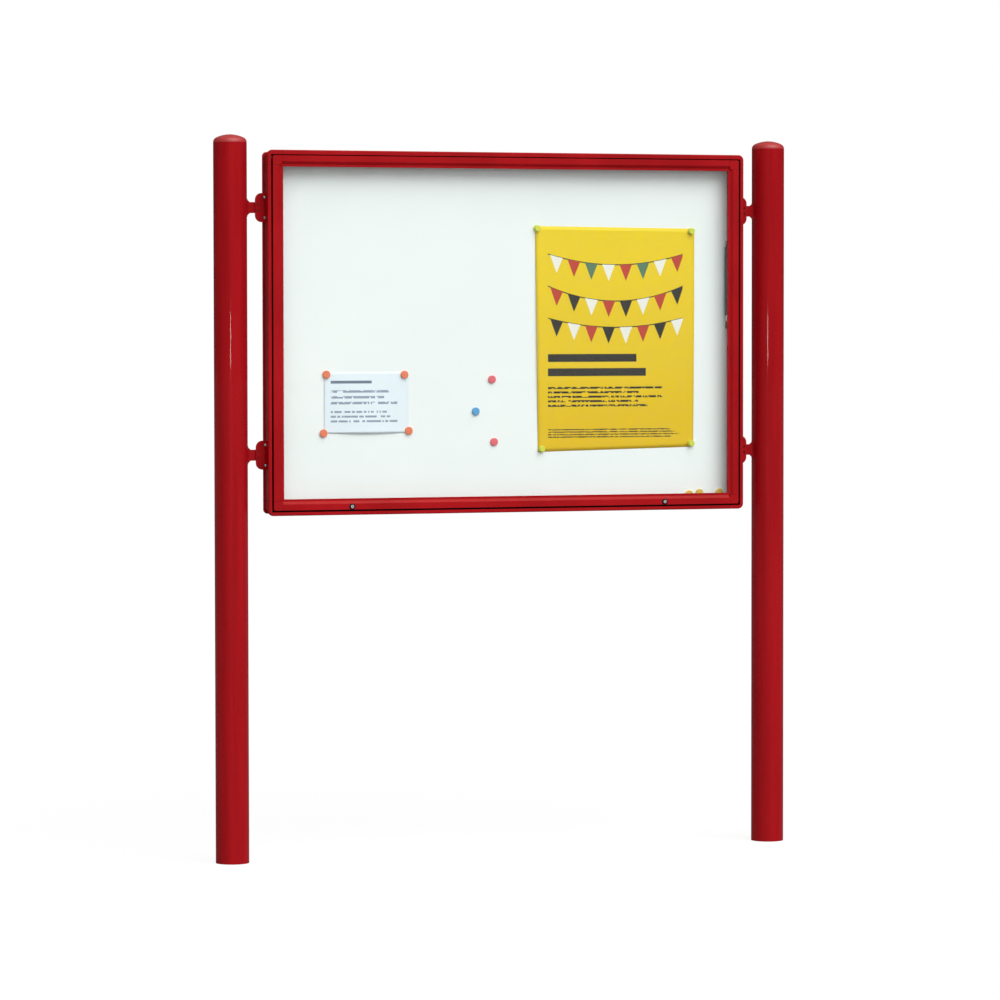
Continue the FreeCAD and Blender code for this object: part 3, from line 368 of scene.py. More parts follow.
def red_paint(name, peel, rough, shine=0.12):
    """Baked red powder paint: a fine peel, cloudy gloss, a little dust on what faces up, and painted
    shade in the slot.
    """
    f = Finish(name)
    clouds = f.level(f.noise(0.16, 3), 0.35, 0.65)
    colour = f.blend(clouds, RED_DEEP, RED_FRESH)
    facing = f.axes(f.add("NewGeometry").outputs["Normal"])
    upward = f.level(facing[Z], 0.35, 0.95)
    specks = f.level(f.noise(0.006, 4, rough=0.7), 0.45, 0.75, 0.0, 0.5)
    colour = f.blend(f.work("MULTIPLY", upward, specks), colour, RED_DUSTY)
    # Painted shade: the paint turns near-black deep in the slot between case and door, where shade
    # falls.
    colour = f.blend(f.work("MULTIPLY", painted_gap_shade(f), GAP_SHADE_COVER), colour, GAP_SHADE_TONE)
    relief = f.bump(f.noise(0.009, 1), peel, PEEL_BROAD,
                    f.bump(f.noise(0.0016, 2), peel, PEEL_FINE))
    gloss = f.level(f.noise(0.05, 3), 0.3, 0.7, rough - 0.05, rough + 0.07)
    f.surface(colour, gloss, relief, Specular_IOR_Level=shine, Specular_Tint=RED_SHEEN)
    return f.material


def post_paint():
    """The same paint on the posts, glossier, with faint runs of rain and a few rubbed spots."""
    f = Finish("red_post_paint")
    runs = f.level(f.noise(0.02, 4, (1, 1, 0.04)), 0.35, 0.7)
    colour = f.blend(runs, RED_DEEP, RED_FRESH)
    chips = f.level(f.noise(0.011, 5, (1, 1, 0.6), 0.75), 0.70, 0.74)
    colour = f.blend(f.work("MULTIPLY", chips, 0.35), colour, RED_DUSTY)
    relief = f.bump(f.noise(0.012, 2), 0.10, PEEL_BROAD,
                    f.bump(f.noise(0.0018, 2), 0.10, PEEL_FINE))
    gloss = f.level(f.noise(0.07, 3, (1, 1, 0.3)), 0.3, 0.7, 0.27, 0.40)
    f.surface(colour, gloss, relief, Specular_IOR_Level=0.08, Specular_Tint=RED_SHEEN,
              Coat_Weight=0.18, Coat_Roughness=0.03)
    return f.material


def bare_metal(name, colour, rough, grain=0.0008):
    """Plated or drawn steel or aluminium with a fine grain and a little tarnish."""
    f = Finish(name)
    tarnish = f.level(f.noise(0.004, 4), 0.3, 0.75, 0.0, 0.6)
    tone = f.blend(tarnish, colour, tuple(0.62 * c for c in colour))
    lines = f.noise(grain, 3)
    gloss = f.level(lines, 0.2, 0.8, rough - 0.08, rough + 0.1)
    f.surface(tone, gloss, f.bump(lines, 0.15, 0.0001), Metallic=1.0)
    return f.material


def lock_face():
    """Satin steel core in the middle of each lock's black head."""
    f = Finish("lock_face_steel")
    low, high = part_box("left_lock_plug")
    x, _, z = f.axes(f.place())
    across = f.work("SUBTRACT", f.work("ABSOLUTE", x), -(low[X] + high[X]) / 2)
    above = f.work("SUBTRACT", z, (low[Z] + high[Z]) / 2)
    radius = f.work("SQRT", f.work("ADD", f.work("MULTIPLY", across, across),
                                   f.work("MULTIPLY", above, above)))
    rim = f.level(radius, LOCK_CORE - LOCK_EDGE, LOCK_CORE)
    tarnish = f.level(f.noise(0.004, 4), 0.3, 0.75, 0.0, 0.5)
    tone = f.blend(rim, f.blend(tarnish, (0.80, 0.83, 0.86), (0.55, 0.58, 0.60)), LOCK_BLACK)
    grain = f.noise(0.0012, 3)
    gloss = f.level(grain, 0.2, 0.8, 0.38, 0.54)
    shader = f.surface(tone, gloss, f.bump(grain, 0.15, 0.0001), Specular_IOR_Level=0.2)
    f.join(f.level(rim, 0, 1, 0.85, 0.0), shader.inputs["Metallic"])
    return f.material


def moulded(name, colour, rough, shade=0.86, shine=0.5):
    """Moulded plastic or a thin coating, with a faint grain and uneven sheen."""
    f = Finish(name)
    patches = f.level(f.noise(0.006, 3), 0.3, 0.7)
    tone = f.blend(patches, tuple(shade * c for c in colour), colour)
    gloss = f.level(f.noise(0.003, 2), 0.3, 0.7, rough - 0.05, rough + 0.07)
    f.surface(tone, gloss, f.bump(f.noise(0.0005, 2), 0.12, 0.00008), Specular_IOR_Level=shine)
    return f.material


def board_enamel():
    """White enamelled steel with wiped haze and faint scuffs."""
    f = Finish("white_board_enamel")
    haze = f.level(f.noise(0.35, 4), 0.3, 0.7)
    tone = f.blend(haze, (0.865, 0.910, 0.908), (0.910, 0.940, 0.935))
    wipes = f.level(f.noise(0.03, 5, (1.0, 1.0, 0.25), 0.7), 0.62, 0.80, 0.0, 0.25)
    tone = f.blend(wipes, tone, (0.90, 0.93, 0.93))
    scuffs = f.level(f.noise(0.012, 6, (0.35, 1, 1.6), 0.8), 0.715, 0.735, 0.0, 0.30)
    tone = f.blend(scuffs, tone, (0.50, 0.56, 0.57))
    gloss = f.level(f.noise(0.08, 4), 0.3, 0.7, 0.30, 0.46)
    f.surface(tone, gloss, f.bump(f.noise(0.02, 2), 0.05, 0.0004), Specular_IOR_Level=0.35)
    return f.material


def pane_glass():
    """Clear pane with a faint green tone and smears, that lets lamps through."""
    f = Finish("clear_pane_glass")
    smears = f.level(f.noise(0.06, 5, (1, 1, 0.4), 0.65), 0.45, 0.8, 0.0, 0.06)
    shader = f.surface((0.965, 0.990, 0.982), smears, Transmission_Weight=1.0, IOR=1.45,
                       Specular_IOR_Level=0.5)
    path, through = f.add("LightPath"), f.add("BsdfTransparent")
    f.feed(through.inputs["Color"], (0.985, 0.995, 0.990))
    shown = shader.outputs[0]
    for ray in ("Is Shadow Ray", "Is Diffuse Ray"):
        mix = f.add("MixShader")
        for target, source in zip(mix.inputs, (path.outputs[ray], shown, through.outputs[0])):
            f.join(source, target)
        shown = mix.outputs[0]
    f.join(shown, f.output.inputs["Surface"])
    return f.material


def rubber():
    """Black extruded rubber, slightly dusty."""
    f = Finish("black_rubber")
    dust = f.level(f.noise(0.004, 4), 0.4, 0.8, 0.0, 0.3)
    tone = f.blend(dust, (0.007, 0.006, 0.006), (0.04, 0.036, 0.034))
    f.surface(tone, 0.72, f.bump(f.noise(0.0007, 2), 0.2, 0.0001), Specular_IOR_Level=0.15)
    return f.material


def panel_wood():
    """Edge and faces of the core panel behind the steel face."""
    f = Finish("core_panel_wood")
    plies = f.level(f.noise(0.0016, 3, (0.03, 1, 0.03)), 0.3, 0.7)
    tone = f.blend(plies, (0.30, 0.19, 0.10), (0.52, 0.36, 0.21))
    f.surface(tone, 0.7, f.bump(f.noise(0.001, 3), 0.3, 0.0002))
    return f.material


def back_metal():
    """Mill-finish sheet of the back, with rolling lines and water stains."""
    f = Finish("back_sheet_aluminium")
    stains = f.level(f.noise(0.12, 5, (1, 1, 0.35), 0.65), 0.4, 0.75)
    tone = f.blend(stains, (0.60, 0.61, 0.62), (0.43, 0.44, 0.45))
    rolling = f.noise(0.004, 3, (0.02, 1, 1.5))
    gloss = f.level(rolling, 0.3, 0.7, 0.34, 0.52)
    f.surface(tone, gloss, f.bump(rolling, 0.12, 0.00012), Metallic=0.35)
    return f.material


def make_finishes():
    """Finish of every material slot, by its name."""
    fitting = moulded("strut_fitting_plastic", (0.03, 0.03, 0.033), 0.5)
    finishes = {
        "frame_paint": red_paint("red_frame_paint", 0.10, 0.34),
        "corner_paint": red_paint("red_corner_paint", 0.18, 0.40, 0.10),
        "bracket_paint": red_paint("red_bracket_paint", 0.22, 0.42, 0.08),
        "post_paint": post_paint(),
        "cap_plastic": moulded("red_cap_plastic", (0.43, 0.020, 0.018), 0.48, shine=0.7),
        "fastener_steel": bare_metal("zinc_plated_steel", (0.60, 0.63, 0.66), 0.34),
        "lock_steel": lock_face(),
        "black_trim": moulded("black_trim_plastic", (0.008, 0.008, 0.009), 0.60, shine=0.12),
        "bush_plastic": fitting,
        "clear_pane": pane_glass(),
        "black_rubber": rubber(),
        "white_board": board_enamel(),
        "core_panel": panel_wood(),
        "back_sheet": back_metal(),
        "strut_paint": moulded("strut_tube_enamel", (0.045, 0.055, 0.085), 0.34),
        "strut_chrome": bare_metal("polished_rod_chrome", (0.78, 0.78, 0.79), 0.12),
        "strut_fitting": fitting,
        "notice_paper": moulded("notice_paper", (0.80, 0.83, 0.87), 0.7, 0.98),
        "poster_paper": moulded("poster_paper", (0.84, 0.62, 0.035), 0.5, 0.97),
    }
    for name, colour in (("orange", (0.83, 0.205, 0.095)), ("red", (0.80, 0.135, 0.165)),
                         ("blue", (0.10, 0.36, 0.66)), ("lime", (0.66, 0.70, 0.06)),
                         ("ochre", (0.72, 0.47, 0.07))):
        finishes[name + "_plastic"] = moulded(name + "_magnet_plastic", colour, 0.30, 0.95)
    return finishes


def dress(name, material):
    """Give a carried-over node its finish."""
    mesh = nodes[name].data
    mesh.materials.clear()
    mesh.materials.append(material)


def dress_nodes(finishes):
    """Give every carried-over node the finish of its slot, and what hides in the case near-black
    steel: painted shade.
    """
    for part in frame["record"]["subparts"]:
        dress(part["node"], finishes[part["material_slot"]])
    # Painted shade: parts seen through the gap round the door get near-black steel that stands in for
    # its shade.
    gap_shade_steel = bare_metal("pin_steel_painted_shade", (0.05, 0.05, 0.055), 0.55, 0.0010)
    for hidden in ("hinge_pins", "hinge_bushes", "lock_strikes", "left_lock_cam", "right_lock_cam"):
        dress(hidden, gap_shade_steel)


def paper_print(name, node, head, foot, rough, marks):
    """Printed paper: marks are (mask, colour) pairs laid over a tone that goes from head to foot,
    with fibres and creases."""
    f = Finish(name)
    x, _, z = f.axes(f.place())
    low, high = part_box(node)
    tone = f.blend(f.level(z, low[Z], high[Z]), foot, head)
    colour = f.blend(f.level(f.noise(0.03, 3), 0.3, 0.7, 0.0, 0.05), tone, (0.5, 0.45, 0.35))
    for mask, ink in marks(f, x, z):
        colour = f.blend(mask, colour, ink)
    creases = f.bump(f.noise(0.05, 2, (1, 1, 0.5)), 0.12, 0.002)
    fibres = f.bump(f.noise(0.0009, 2), 0.08, 0.0001, creases)
    f.surface(colour, rough, fibres, Specular_IOR_Level=0.2)
    return f.material


def notice_marks(f, x, z):
    """A heading bar and two blocks of three rows of broken bars, all without letters."""
    low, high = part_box("notice_sheet")
    left = low[X] + NOTICE_MARGIN
    yield f.bars(x, z, left, high[Z] - NOTICE_HEADING.edge, NOTICE_HEADING), NOTICE_HEADING_INK
    for block in NOTICE_SMALL:
        yield f.bars(x, z, left, high[Z] - block.edge, block), NOTICE_SMALL_INK


def garland(f, x, z, left, right, ends, sag, step):
    """Masks of one garland of pennants: its cord and, by turns, its three kinds of pennant."""
    middle, half = (left + right) / 2, (right - left) / 2
    share = f.work("DIVIDE", f.work("SUBTRACT", x, middle), half)
    cord = f.work("ADD", f.work("MULTIPLY", f.work("MULTIPLY", share, share), sag), ends - sag)
    inside = f.within(x, middle, half)
    below = f.work("SUBTRACT", cord, z)
    turn = f.work("DIVIDE", f.work("SUBTRACT", x, left), PENNANT_PITCH)
    from_middle = f.work("ABSOLUTE", f.work("SUBTRACT", f.work("FRACT", turn), 0.5))
    beside = f.work("MULTIPLY", from_middle, PENNANT_PITCH)
    room = f.level(below, 0, PENNANT_DROP, PENNANT_HALF, 0.0)
    pennant = f.all_of(inside, f.within(below, PENNANT_DROP / 2, PENNANT_DROP / 2),
                       f.work("LESS_THAN", beside, room))
    kind = f.work("FLOORED_MODULO", f.work("ADD", f.work("FLOOR", turn), step), 3.0)
    yield f.all_of(inside, f.within(below, 0.0, GARLAND_CORD_HALF))
    for number in range(3):
        yield f.all_of(pennant, f.within(kind, number, 0.4))


def poster_marks(f, x, z):
    """Three garlands of pennants, a heading of plain bars and two blocks of small broken bars."""
    low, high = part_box("poster_sheet")
    left, right = low[X] + POSTER_MARGIN, high[X] - POSTER_MARGIN
    for step, (drop, sag) in enumerate(GARLANDS):
        last = PENNANT_DARK if step else PENNANT_LEAF
        masks = garland(f, x, z, left, right, high[Z] - drop, sag, step)
        yield from zip(masks, (PENNANT_DARK, PENNANT_CREAM, PENNANT_CLAY, last))
    for block in (POSTER_HEADING, *POSTER_SMALL):
        yield f.bars(x, z, left, low[Z] + block.edge, block), PENNANT_DARK


def notice_rise(u, v):
    """The notice is flat under its four magnets and bellies out between the two at its foot."""
    belly = math.sin(math.pi * min(1, max(0, (u - 0.03) / 0.94))) ** 1.3
    middle = math.sin(math.pi * u) * math.sin(math.pi * v)
    return NOTICE_FOOT_BELLY * belly * (1 - v) ** 2.2 + NOTICE_BELLY * middle


def poster_rise(u, v):
    """The poster hangs in two shallow folds, and its side edges stand off the board."""
    folds = (math.sin(math.pi * u) * math.sin(2.2 * math.pi * v)) ** 2
    left = math.exp(-u / POSTER_CURL_REACH) * math.sin(math.pi * v) ** 0.8
    right = math.exp(-(1 - u) / POSTER_CURL_REACH) * math.sin(math.pi * v)
    return POSTER_FOLDS * folds + POSTER_LEFT_CURL * left + POSTER_RIGHT_CURL * right


def close_mesh(name, bm):
    """Smooth mesh from a finished form, its faces pointing outwards."""
    bmesh.ops.recalc_face_normals(bm, faces=bm.faces)
    mesh = bpy.data.meshes.new(name)
    bm.to_mesh(mesh)
    bm.free()
    for face in mesh.polygons:
        face.use_smooth = True
    return mesh


def paper_layer(bm, node, rise, shifts, faces, lift):
    """Grid of points for one side of a sheet, lifted off its back by lift."""
    low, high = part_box(node)
    columns, rows = faces
    grid = []
    for j in range(rows + 1):
        for i in range(columns + 1):
            u, v = i / columns, j / rows
            shares = ((1 - u) * (1 - v), u * (1 - v), (1 - u) * v, u * v)
            across, upward = (MM * sum(share * shift[k] for share, shift in zip(shares, shifts))
                              for k in (0, 1))
            grid.append(bm.verts.new((low[X] + u * (high[X] - low[X]) + across,
                                      high[Y] - rise(u, v) - lift,
                                      low[Z] + v * (high[Z] - low[Z]) + upward)))
    return grid


def paper_sheet(node, rise, shifts, faces, material):
    """A thin sheet that takes the place of its flat solid and stands off the board by rise(u, v),
    where u runs from left to right and v from foot to head."""
    bm = bmesh.new()
    front = paper_layer(bm, node, rise, shifts, faces, SHEET_THICKNESS)
    behind = paper_layer(bm, node, rise, shifts, faces, 0.0)
    columns, rows = faces
    wide = columns + 1
    for j in range(rows):
        for i in range(columns):
            a = j * wide + i
            bm.faces.new((front[a], front[a + 1], front[a + wide + 1], front[a + wide]))
            bm.faces.new((behind[a], behind[a + wide], behind[a + wide + 1], behind[a + 1]))
    rim = [*range(columns), *(columns + j * wide for j in range(rows)),
           *(rows * wide + i for i in range(columns, 0, -1)), *(j * wide for j in range(rows, 0, -1))]
    for a, b in zip(rim, rim[1:] + rim[:1]):
        bm.faces.new((front[b], front[a], behind[a], behind[b]))
    mesh = close_mesh(node + "_curled", bm)
    mesh.materials.append(material)
    piece = new_object(node + "_curled", mesh)
    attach(piece, "posts_and_case")
    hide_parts(node)


def lathe(bm, profile, sides):
    """Rings of a lathe form from (radius, height) pairs, closed at its last ring."""
    rings = []
    for radius, height in profile:
        rings.append([bm.verts.new((radius * math.cos(2 * math.pi * k / sides),
                                    radius * math.sin(2 * math.pi * k / sides), height))
                      for k in range(sides)])
    for low_ring, high_ring in zip(rings, rings[1:]):
        for k in range(sides):
            m = (k + 1) % sides
            bm.faces.new((low_ring[k], low_ring[m], high_ring[m], high_ring[k]))
    bm.faces.new(rings[-1])
    return rings


def model(name, bm):
    """Object that is only a model for scattered pieces; it isn't linked to the scene."""
    return bpy.data.objects.new(name, close_mesh(name, bm))


def socket_bolt(name, diameter, length):
    """Button head with a hexagonal socket on a plain shank, drawn along +Z from its seat."""
    bm = bmesh.new()
    head, shank, socket = diameter / 2, BOLT_SHANK / 2, 0.26 * diameter
    high = BOLT_HEAD_HEIGHT
    rings = lathe(bm, [(0.8 * shank, -length), (shank, -length + 0.0004), (shank, 0), (head, 0),
                       (head, 0.40 * high), (0.86 * head, 0.78 * high), (0.62 * head, high),
                       (socket, high), (socket, 0.35 * high)], ROUND_SIDES)
    bm.faces.new(list(reversed(rings[0])))
    for ring in rings[-2:]:
        for vert in ring[1::2]:
            vert.co.x *= math.cos(math.pi / 6)
            vert.co.y *= math.cos(math.pi / 6)
    return model(name, bm)


def blind_rivet(name, diameter, height):
    """Domed blind rivet with the hollow and the broken mandrel in its middle."""
    bm = bmesh.new()
    r = diameter / 2
    lathe(bm, [(r, 0), (0.97 * r, 0.32 * height), (0.74 * r, 0.80 * height), (0.45 * r, height),
               (0.30 * r, 0.95 * height), (0.26 * r, 0.35 * height), (0.12 * r, 0.50 * height)],
          ROUND_SIDES)
    return model(name, bm)


def weld_ripple(name, r):
    """One ripple of a weld bead: a flattened half ball."""
    bm = bmesh.new()
    lathe(bm, [(r, -0.4 * r), (0.93 * r, 0.25 * r), (0.62 * r, 0.6 * r), (0.2 * r, 0.74 * r)],
          WELD_SIDES)
    return model(name, bm)


def scatter_tree(name, material):
    """Geometry Nodes tree that puts a model on each point, turned to the point's own direction."""
    tree = bpy.data.node_groups.new(name, "GeometryNodeTree")
    sockets = {}
    for label, kind in (("Geometry", "NodeSocketGeometry"), ("Model", "NodeSocketObject"),
                        ("Size", "NodeSocketFloat"), ("Uneven size", "NodeSocketFloat"),
                        ("Uneven turn", "NodeSocketFloat"), ("Seed", "NodeSocketInt")):
        sockets[label] = tree.interface.new_socket(label, in_out="INPUT", socket_type=kind)
    tree.interface.new_socket("Geometry", in_out="OUTPUT", socket_type="NodeSocketGeometry")
    new, link = tree.nodes.new, tree.links.new
    entry, leave = new("NodeGroupInput"), new("NodeGroupOutput")
    info, place = new("GeometryNodeObjectInfo"), new("GeometryNodeInstanceOnPoints")
    link(entry.outputs["Model"], info.inputs["Object"])
    link(entry.outputs["Geometry"], place.inputs["Points"])
    link(info.outputs["Geometry"], place.inputs["Instance"])

    aim = new("GeometryNodeInputNamedAttribute")
    aim.data_type = "FLOAT_VECTOR"
    aim.inputs["Name"].default_value = "aim"
    align, spin = new("FunctionNodeAlignRotationToVector"), new("FunctionNodeRandomValue")
    align.axis = "Z"
    link(aim.outputs[0], align.inputs["Vector"])
    spin.data_type = "FLOAT"
    link(entry.outputs["Uneven turn"], spin.inputs[RANDOM_MOST])
    link(entry.outputs["Seed"], spin.inputs["Seed"])
    twist, turn = new("FunctionNodeAxisAngleToRotation"), new("FunctionNodeRotateRotation")
    twist.inputs["Axis"].default_value = (0, 0, 1)
    turn.rotation_space = "LOCAL"
    link(spin.outputs[RANDOM_NUMBER], twist.inputs["Angle"])
    link(align.outputs[0], turn.inputs["Rotation"])
    link(twist.outputs[0], turn.inputs["Rotate By"])
    link(turn.outputs[0], place.inputs["Rotation"])

    least, wobble = new("ShaderNodeMath"), new("FunctionNodeRandomValue")
    least.operation = "SUBTRACT"
    least.inputs[0].default_value = 1.0
    wobble.data_type = "FLOAT"
    link(entry.outputs["Uneven size"], least.inputs[1])
    link(least.outputs[0], wobble.inputs[RANDOM_LEAST])
    link(entry.outputs["Seed"], wobble.inputs["Seed"])
    scale = new("ShaderNodeMath")
    scale.operation = "MULTIPLY"
    link(wobble.outputs[RANDOM_NUMBER], scale.inputs[0])
    link(entry.outputs["Size"], scale.inputs[1])
    link(scale.outputs[0], place.inputs["Scale"])

    real, paint = new("GeometryNodeRealizeInstances"), new("GeometryNodeSetMaterial")
    paint.inputs["Material"].default_value = material
    link(place.outputs[0], real.inputs[0])
    link(real.outputs[0], paint.inputs["Geometry"])
    link(paint.outputs[0], leave.inputs[0])
    return tree, sockets


def scatter(name, shape, spots, material, stands_for=None, uneven=0.0, seed=7):
    """Puts a model on every (place, direction) spot as one plain mesh on the fixed body."""
    mesh = bpy.data.meshes.new(name + "_spots")
    mesh.from_pydata([tuple(place) for place, _ in spots], [], [])
    aims = mesh.attributes.new("aim", "FLOAT_VECTOR", "POINT")
    for item, (_, direction) in zip(aims.data, spots):
        item.vector = direction
    carrier = new_object(name + "_spots", mesh)
    tree, sockets = scatter_tree(name + "_tree", material)
    modifier = carrier.modifiers.new("scatter", "NODES")
    modifier.node_group = tree
    for label, value in (("Model", shape), ("Size", 1.0), ("Uneven size", uneven),
                         ("Uneven turn", 2 * math.pi), ("Seed", seed)):
        modifier[sockets[label].identifier] = value
    bpy.context.view_layer.update()
    grown = carrier.evaluated_get(bpy.context.evaluated_depsgraph_get())
    plain = bpy.data.meshes.new_from_object(grown)
    plain.name = name
    piece = new_object(name, plain)
    bpy.data.objects.remove(carrier)
    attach(piece, "posts_and_case")
    if stands_for:
        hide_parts(stands_for)


def patches(node):
    """(lowest corner, highest corner) of every patch of joined faces of a CAD node, in the order of
    its mesh. Not all faces of a solid are joined there, so a solid has several patches."""
    bm = bmesh.new()
    bm.from_mesh(nodes[node].data)
    place = nodes[node].matrix_world
    seen, found = set(), []
    for first in bm.verts:
        stack, group = [first], []
        while stack:
            vert = stack.pop()
            if vert not in seen:
                seen.add(vert)
                group.append(place @ vert.co)
                stack += [edge.other_vert(vert) for edge in vert.link_edges]
        if group:
            found.append((Vector([min(p[k] for p in group) for k in (X, Y, Z)]),
                          Vector([max(p[k] for p in group) for k in (X, Y, Z)])))
    bm.free()
    return found


def bolt_spots(node, axis, way=None):
    """Seats and directions of bolts whose heads point one way along an axis, or outwards, with one
    bolt for each patch of the node."""
    spots = []
    for low, high in patches(node):
        middle = (low + high) / 2
        side = way or (1 if middle[axis] > 0 else -1)
        middle[axis] = high[axis] - BOLT_HEAD_HEIGHT if side > 0 else low[axis] + BOLT_HEAD_HEIGHT
        direction = Vector((0, 0, 0))
        direction[axis] = side
        spots.append((middle, direction))
    return spots


def weld_spots():
    """Places of the weld ripples round the foot of each lug, on the surface of its post, with one
    round of them for each patch of the lugs."""
    post_low, post_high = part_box("right_post")
    radius = (post_high[X] - post_low[X]) / 2
    spots = []
    for low, high in patches("post_lugs"):
        side = 1 if low[X] + high[X] > 0 else -1
        axis = side * (post_low[X] + post_high[X]) / 2
        x = axis - side * math.sqrt(radius ** 2 - ((high[Y] - low[Y]) / 2) ** 2)
        for y, lean in ((low[Y], -1), (high[Y], 1)):
            for k in range(WELD_STEPS_UP + 1):
                z = low[Z] + (high[Z] - low[Z]) * k / WELD_STEPS_UP
                spots.append((Vector((x, y, z)), Vector((-side, lean, 0))))
        for z, lean in ((low[Z], -1), (high[Z], 1)):
            for k in range(1, WELD_STEPS_ACROSS):
                y = low[Y] + (high[Y] - low[Y]) * k / WELD_STEPS_ACROSS
                spots.append((Vector((x, y, z)), Vector((-side, 0, lean))))
    return spots


def papers():
    """The notice and the poster, a little curled."""
    notice = paper_print("notice_paper_print", "notice_sheet", NOTICE_TONE, NOTICE_TONE, 0.72,
                         notice_marks)
    paper_sheet("notice_sheet", notice_rise, SQUARE, NOTICE_FACES, notice)
    poster = paper_print("poster_paper_print", "poster_sheet", POSTER_HEAD_TONE, POSTER_FOOT_TONE,
                         0.42, poster_marks)
    paper_sheet("poster_sheet", poster_rise, POSTER_SHIFTS, POSTER_FACES, poster)


def bolts():
    """Bolts of the lugs, with heads to the front, and of the case brackets, with heads outwards."""
    # The teal is the bolts' own colour. The lug bolts get a darker copy of it as painted shade of the
    # lobes they sit in.
    dark = moulded("lobe_bolt_teal_painted_shade", (0.030, 0.115, 0.120), 0.50, shine=0.2)
    scatter("lug_socket_bolts", socket_bolt("socket_bolt_model", LUG_BOLT_HEAD, LUG_BOLT_LENGTH),
            bolt_spots("lug_bolts", Y, -1), dark, "lug_bolts")
    bright = moulded("passivated_bolt_zinc", (0.26, 0.62, 0.64), 0.42)
    scatter("bracket_socket_bolts",
            socket_bolt("short_bolt_model", BRACKET_BOLT_HEAD, BRACKET_BOLT_LENGTH),
            bolt_spots("bracket_screws", X), bright, "bracket_screws")


def rivets():
    """Blind rivets of the back panel, one for each patch of their node."""
    metal = bare_metal("rivet_aluminium", (0.62, 0.63, 0.64), 0.36, 0.0010)
    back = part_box("back_panel")[1][Y]
    spots = [(Vector(((low[X] + high[X]) / 2, back, (low[Z] + high[Z]) / 2)), Vector((0, 1, 0)))
             for low, high in patches("back_rivets")]
    scatter("blind_rivet_heads", blind_rivet("blind_rivet_model", RIVET_HEAD, RIVET_HEIGHT), spots,
            metal, "back_rivets", seed=11)


def welds(paint):
    """Weld beads of the lugs, painted with the posts."""
    scatter("lug_weld_beads", weld_ripple("weld_ripple_model", WELD_RADIUS), weld_spots(), paint,
            uneven=WELD_UNEVEN, seed=3)


def soft_sun(name, towards, spread, strength, colour):
    """Even light from one side of the sky, with soft shadows."""
    data = bpy.data.lights.new(name, "SUN")
    data.energy = strength
    data.angle = math.radians(spread)
    data.color = colour
    light = new_object(name, data)
    light.rotation_euler = Vector(towards).to_track_quat("Z", "Y").to_euler()
    return light


def flash():
    """Small lamp beside the camera, which makes the bright streak on each post."""
    data = bpy.data.lights.new("flash", "AREA")
    data.shape = "RECTANGLE"
    data.size, data.size_y = FLASH_WIDTH, FLASH_HEIGHT
    data.energy = FLASH_POWER
    light = new_object("flash", data)
    light.location = FLASH_PLACE
    aim = Vector(FLASH_AIM) - Vector(FLASH_PLACE)
    light.rotation_euler = aim.to_track_quat("-Z", "Y").to_euler()


def air_glow(tree, height, kind):
    """Light that goes from one colour near the horizon to another higher up."""
    ramp, glow = tree.nodes.new("ShaderNodeValToRGB"), tree.nodes.new("ShaderNodeBackground")
    stops = ramp.color_ramp.elements
    stops[0].position, stops[0].color = kind.low, (*kind.low_colour, 1)
    stops[1].position, stops[1].color = kind.high, (*kind.high_colour, 1)
    glow.inputs["Strength"].default_value = kind.strength
    tree.links.new(height, ramp.inputs[0])
    tree.links.new(ramp.outputs[0], glow.inputs["Color"])
    return glow.outputs[0]


def seen_itself(tree, path):
    """1 where a ray comes straight from the camera or through the pane alone, else 0."""
    steps = []
    for operation in ("LESS_THAN", "MULTIPLY", "MAXIMUM"):
        steps.append(tree.nodes.new("ShaderNodeMath"))
        steps[-1].operation = operation
    near, through, seen = steps
    near.inputs[1].default_value = PANE_BOUNCES
    tree.links.new(path.outputs["Ray Depth"], near.inputs[0])
    tree.links.new(near.outputs[0], through.inputs[0])
    tree.links.new(path.outputs["Is Transmission Ray"], through.inputs[1])
    tree.links.new(through.outputs[0], seen.inputs[0])
    tree.links.new(path.outputs["Is Camera Ray"], seen.inputs[1])
    return seen.outputs[0]


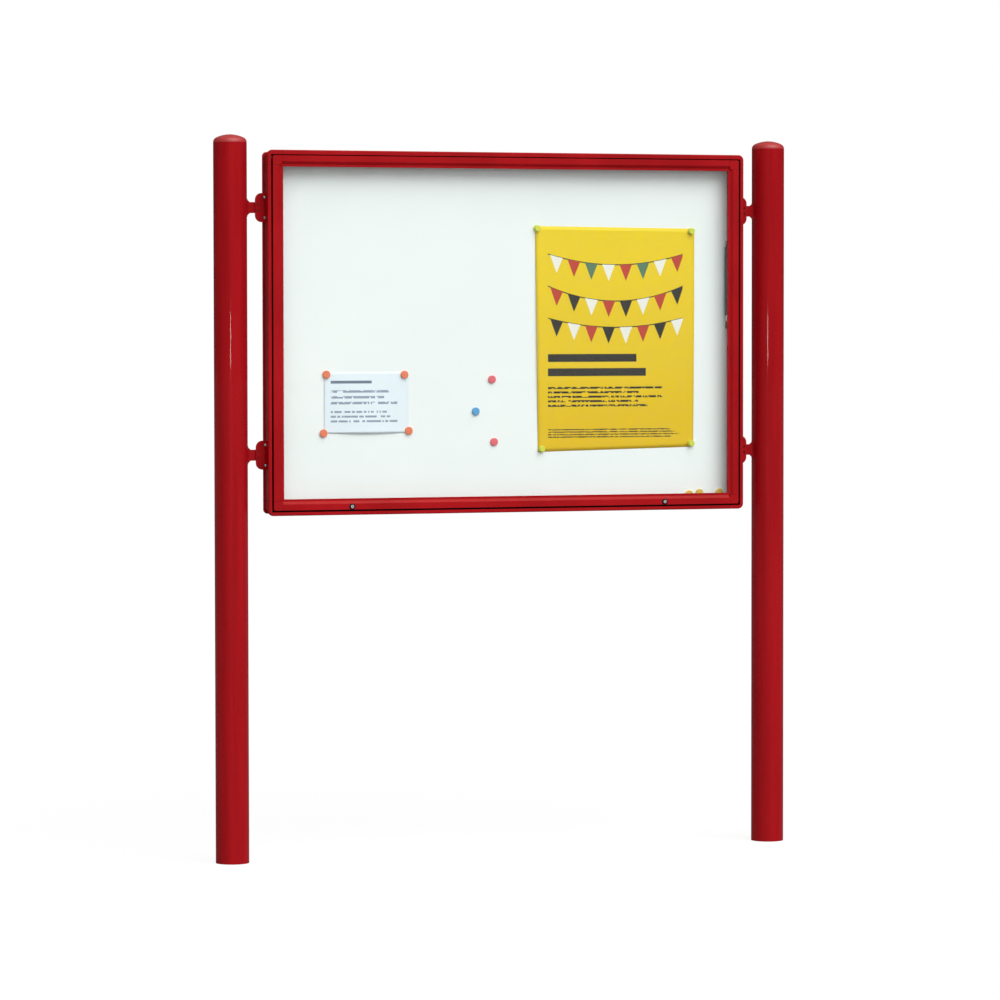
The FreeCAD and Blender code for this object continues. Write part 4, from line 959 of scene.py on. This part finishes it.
def world_light():
    """Studio air: a light band round the horizon that is hardly mirrored, bright overhead for
    what shines, and white where it is seen itself."""
    world = bpy.data.worlds.new("studio")
    bpy.context.scene.world = world
    world.use_nodes = True
    tree = world.node_tree
    tree.nodes.clear()
    new, link = tree.nodes.new, tree.links.new
    output, white = new("ShaderNodeOutputWorld"), new("ShaderNodeBackground")
    white.inputs["Color"].default_value = (1, 1, 1, 1)
    place, split, path = (new("ShaderNodeTexCoord"), new("ShaderNodeSeparateXYZ"),
                          new("ShaderNodeLightPath"))
    link(place.outputs["Generated"], split.inputs[0])
    shown = air_glow(tree, split.outputs[Z], AIR_LIGHT)
    mirrored = air_glow(tree, split.outputs[Z], AIR_MIRRORED)
    for chosen, other in ((path.outputs["Is Glossy Ray"], mirrored),
                          (seen_itself(tree, path), white.outputs[0])):
        mix = new("ShaderNodeMixShader")
        for target, source in zip(mix.inputs, (chosen, shown, other)):
            link(source, target)
        shown = mix.outputs[0]
    link(shown, output.inputs["Surface"])


def floor_paint():
    """Pale floor: almost shadowless where it is seen itself, and dimmer in what it reflects."""
    f = Finish("pale_floor")
    pale, dim, glow = f.add("BsdfDiffuse"), f.add("BsdfDiffuse"), f.add("Emission")
    f.feed(pale.inputs["Color"], (FLOOR_PALE,) * 3)
    f.feed(dim.inputs["Color"], (FLOOR_DIM,) * 3)
    f.feed(glow.inputs["Strength"], FLOOR_GLOW)
    shown, pick, path = f.add("MixShader"), f.add("MixShader"), f.add("LightPath")
    for target, value in zip(shown.inputs, (FLOOR_SHADE, glow.outputs[0], pale.outputs[0])):
        f.feed(target, value)
    for target, value in zip(pick.inputs, (seen_itself(f.tree, path), dim.outputs[0],
                                           shown.outputs[0])):
        f.feed(target, value)
    f.join(pick.outputs[0], f.output.inputs["Surface"])
    return f.material


def lay_floor():
    """Pale plain floor."""
    mesh = bpy.data.meshes.new("floor")
    r = FLOOR_HALF
    mesh.from_pydata([(-r, -r, 0), (r, -r, 0), (r, r, 0), (-r, r, 0)], [], [(0, 1, 2, 3)])
    mesh.materials.append(floor_paint())
    floor = new_object("floor", mesh)
    floor.location.z = -FLOOR_DROP


def light_studio():
    """Soft lamps and studio air."""
    soft_sun("key", *KEY, KEY_COLOUR)
    for side, values in FILLS.items():
        soft_sun(side, *values, FILL_COLOUR).visible_glossy = False
    flash()
    world_light()
    view = bpy.context.scene.view_settings
    view.view_transform = "Standard"
    view.look = "None"


make_camera()
finishes = make_finishes()
dress_nodes(finishes)
papers()
bolts()
rivets()
welds(finishes["post_paint"])
lay_floor()
light_studio()
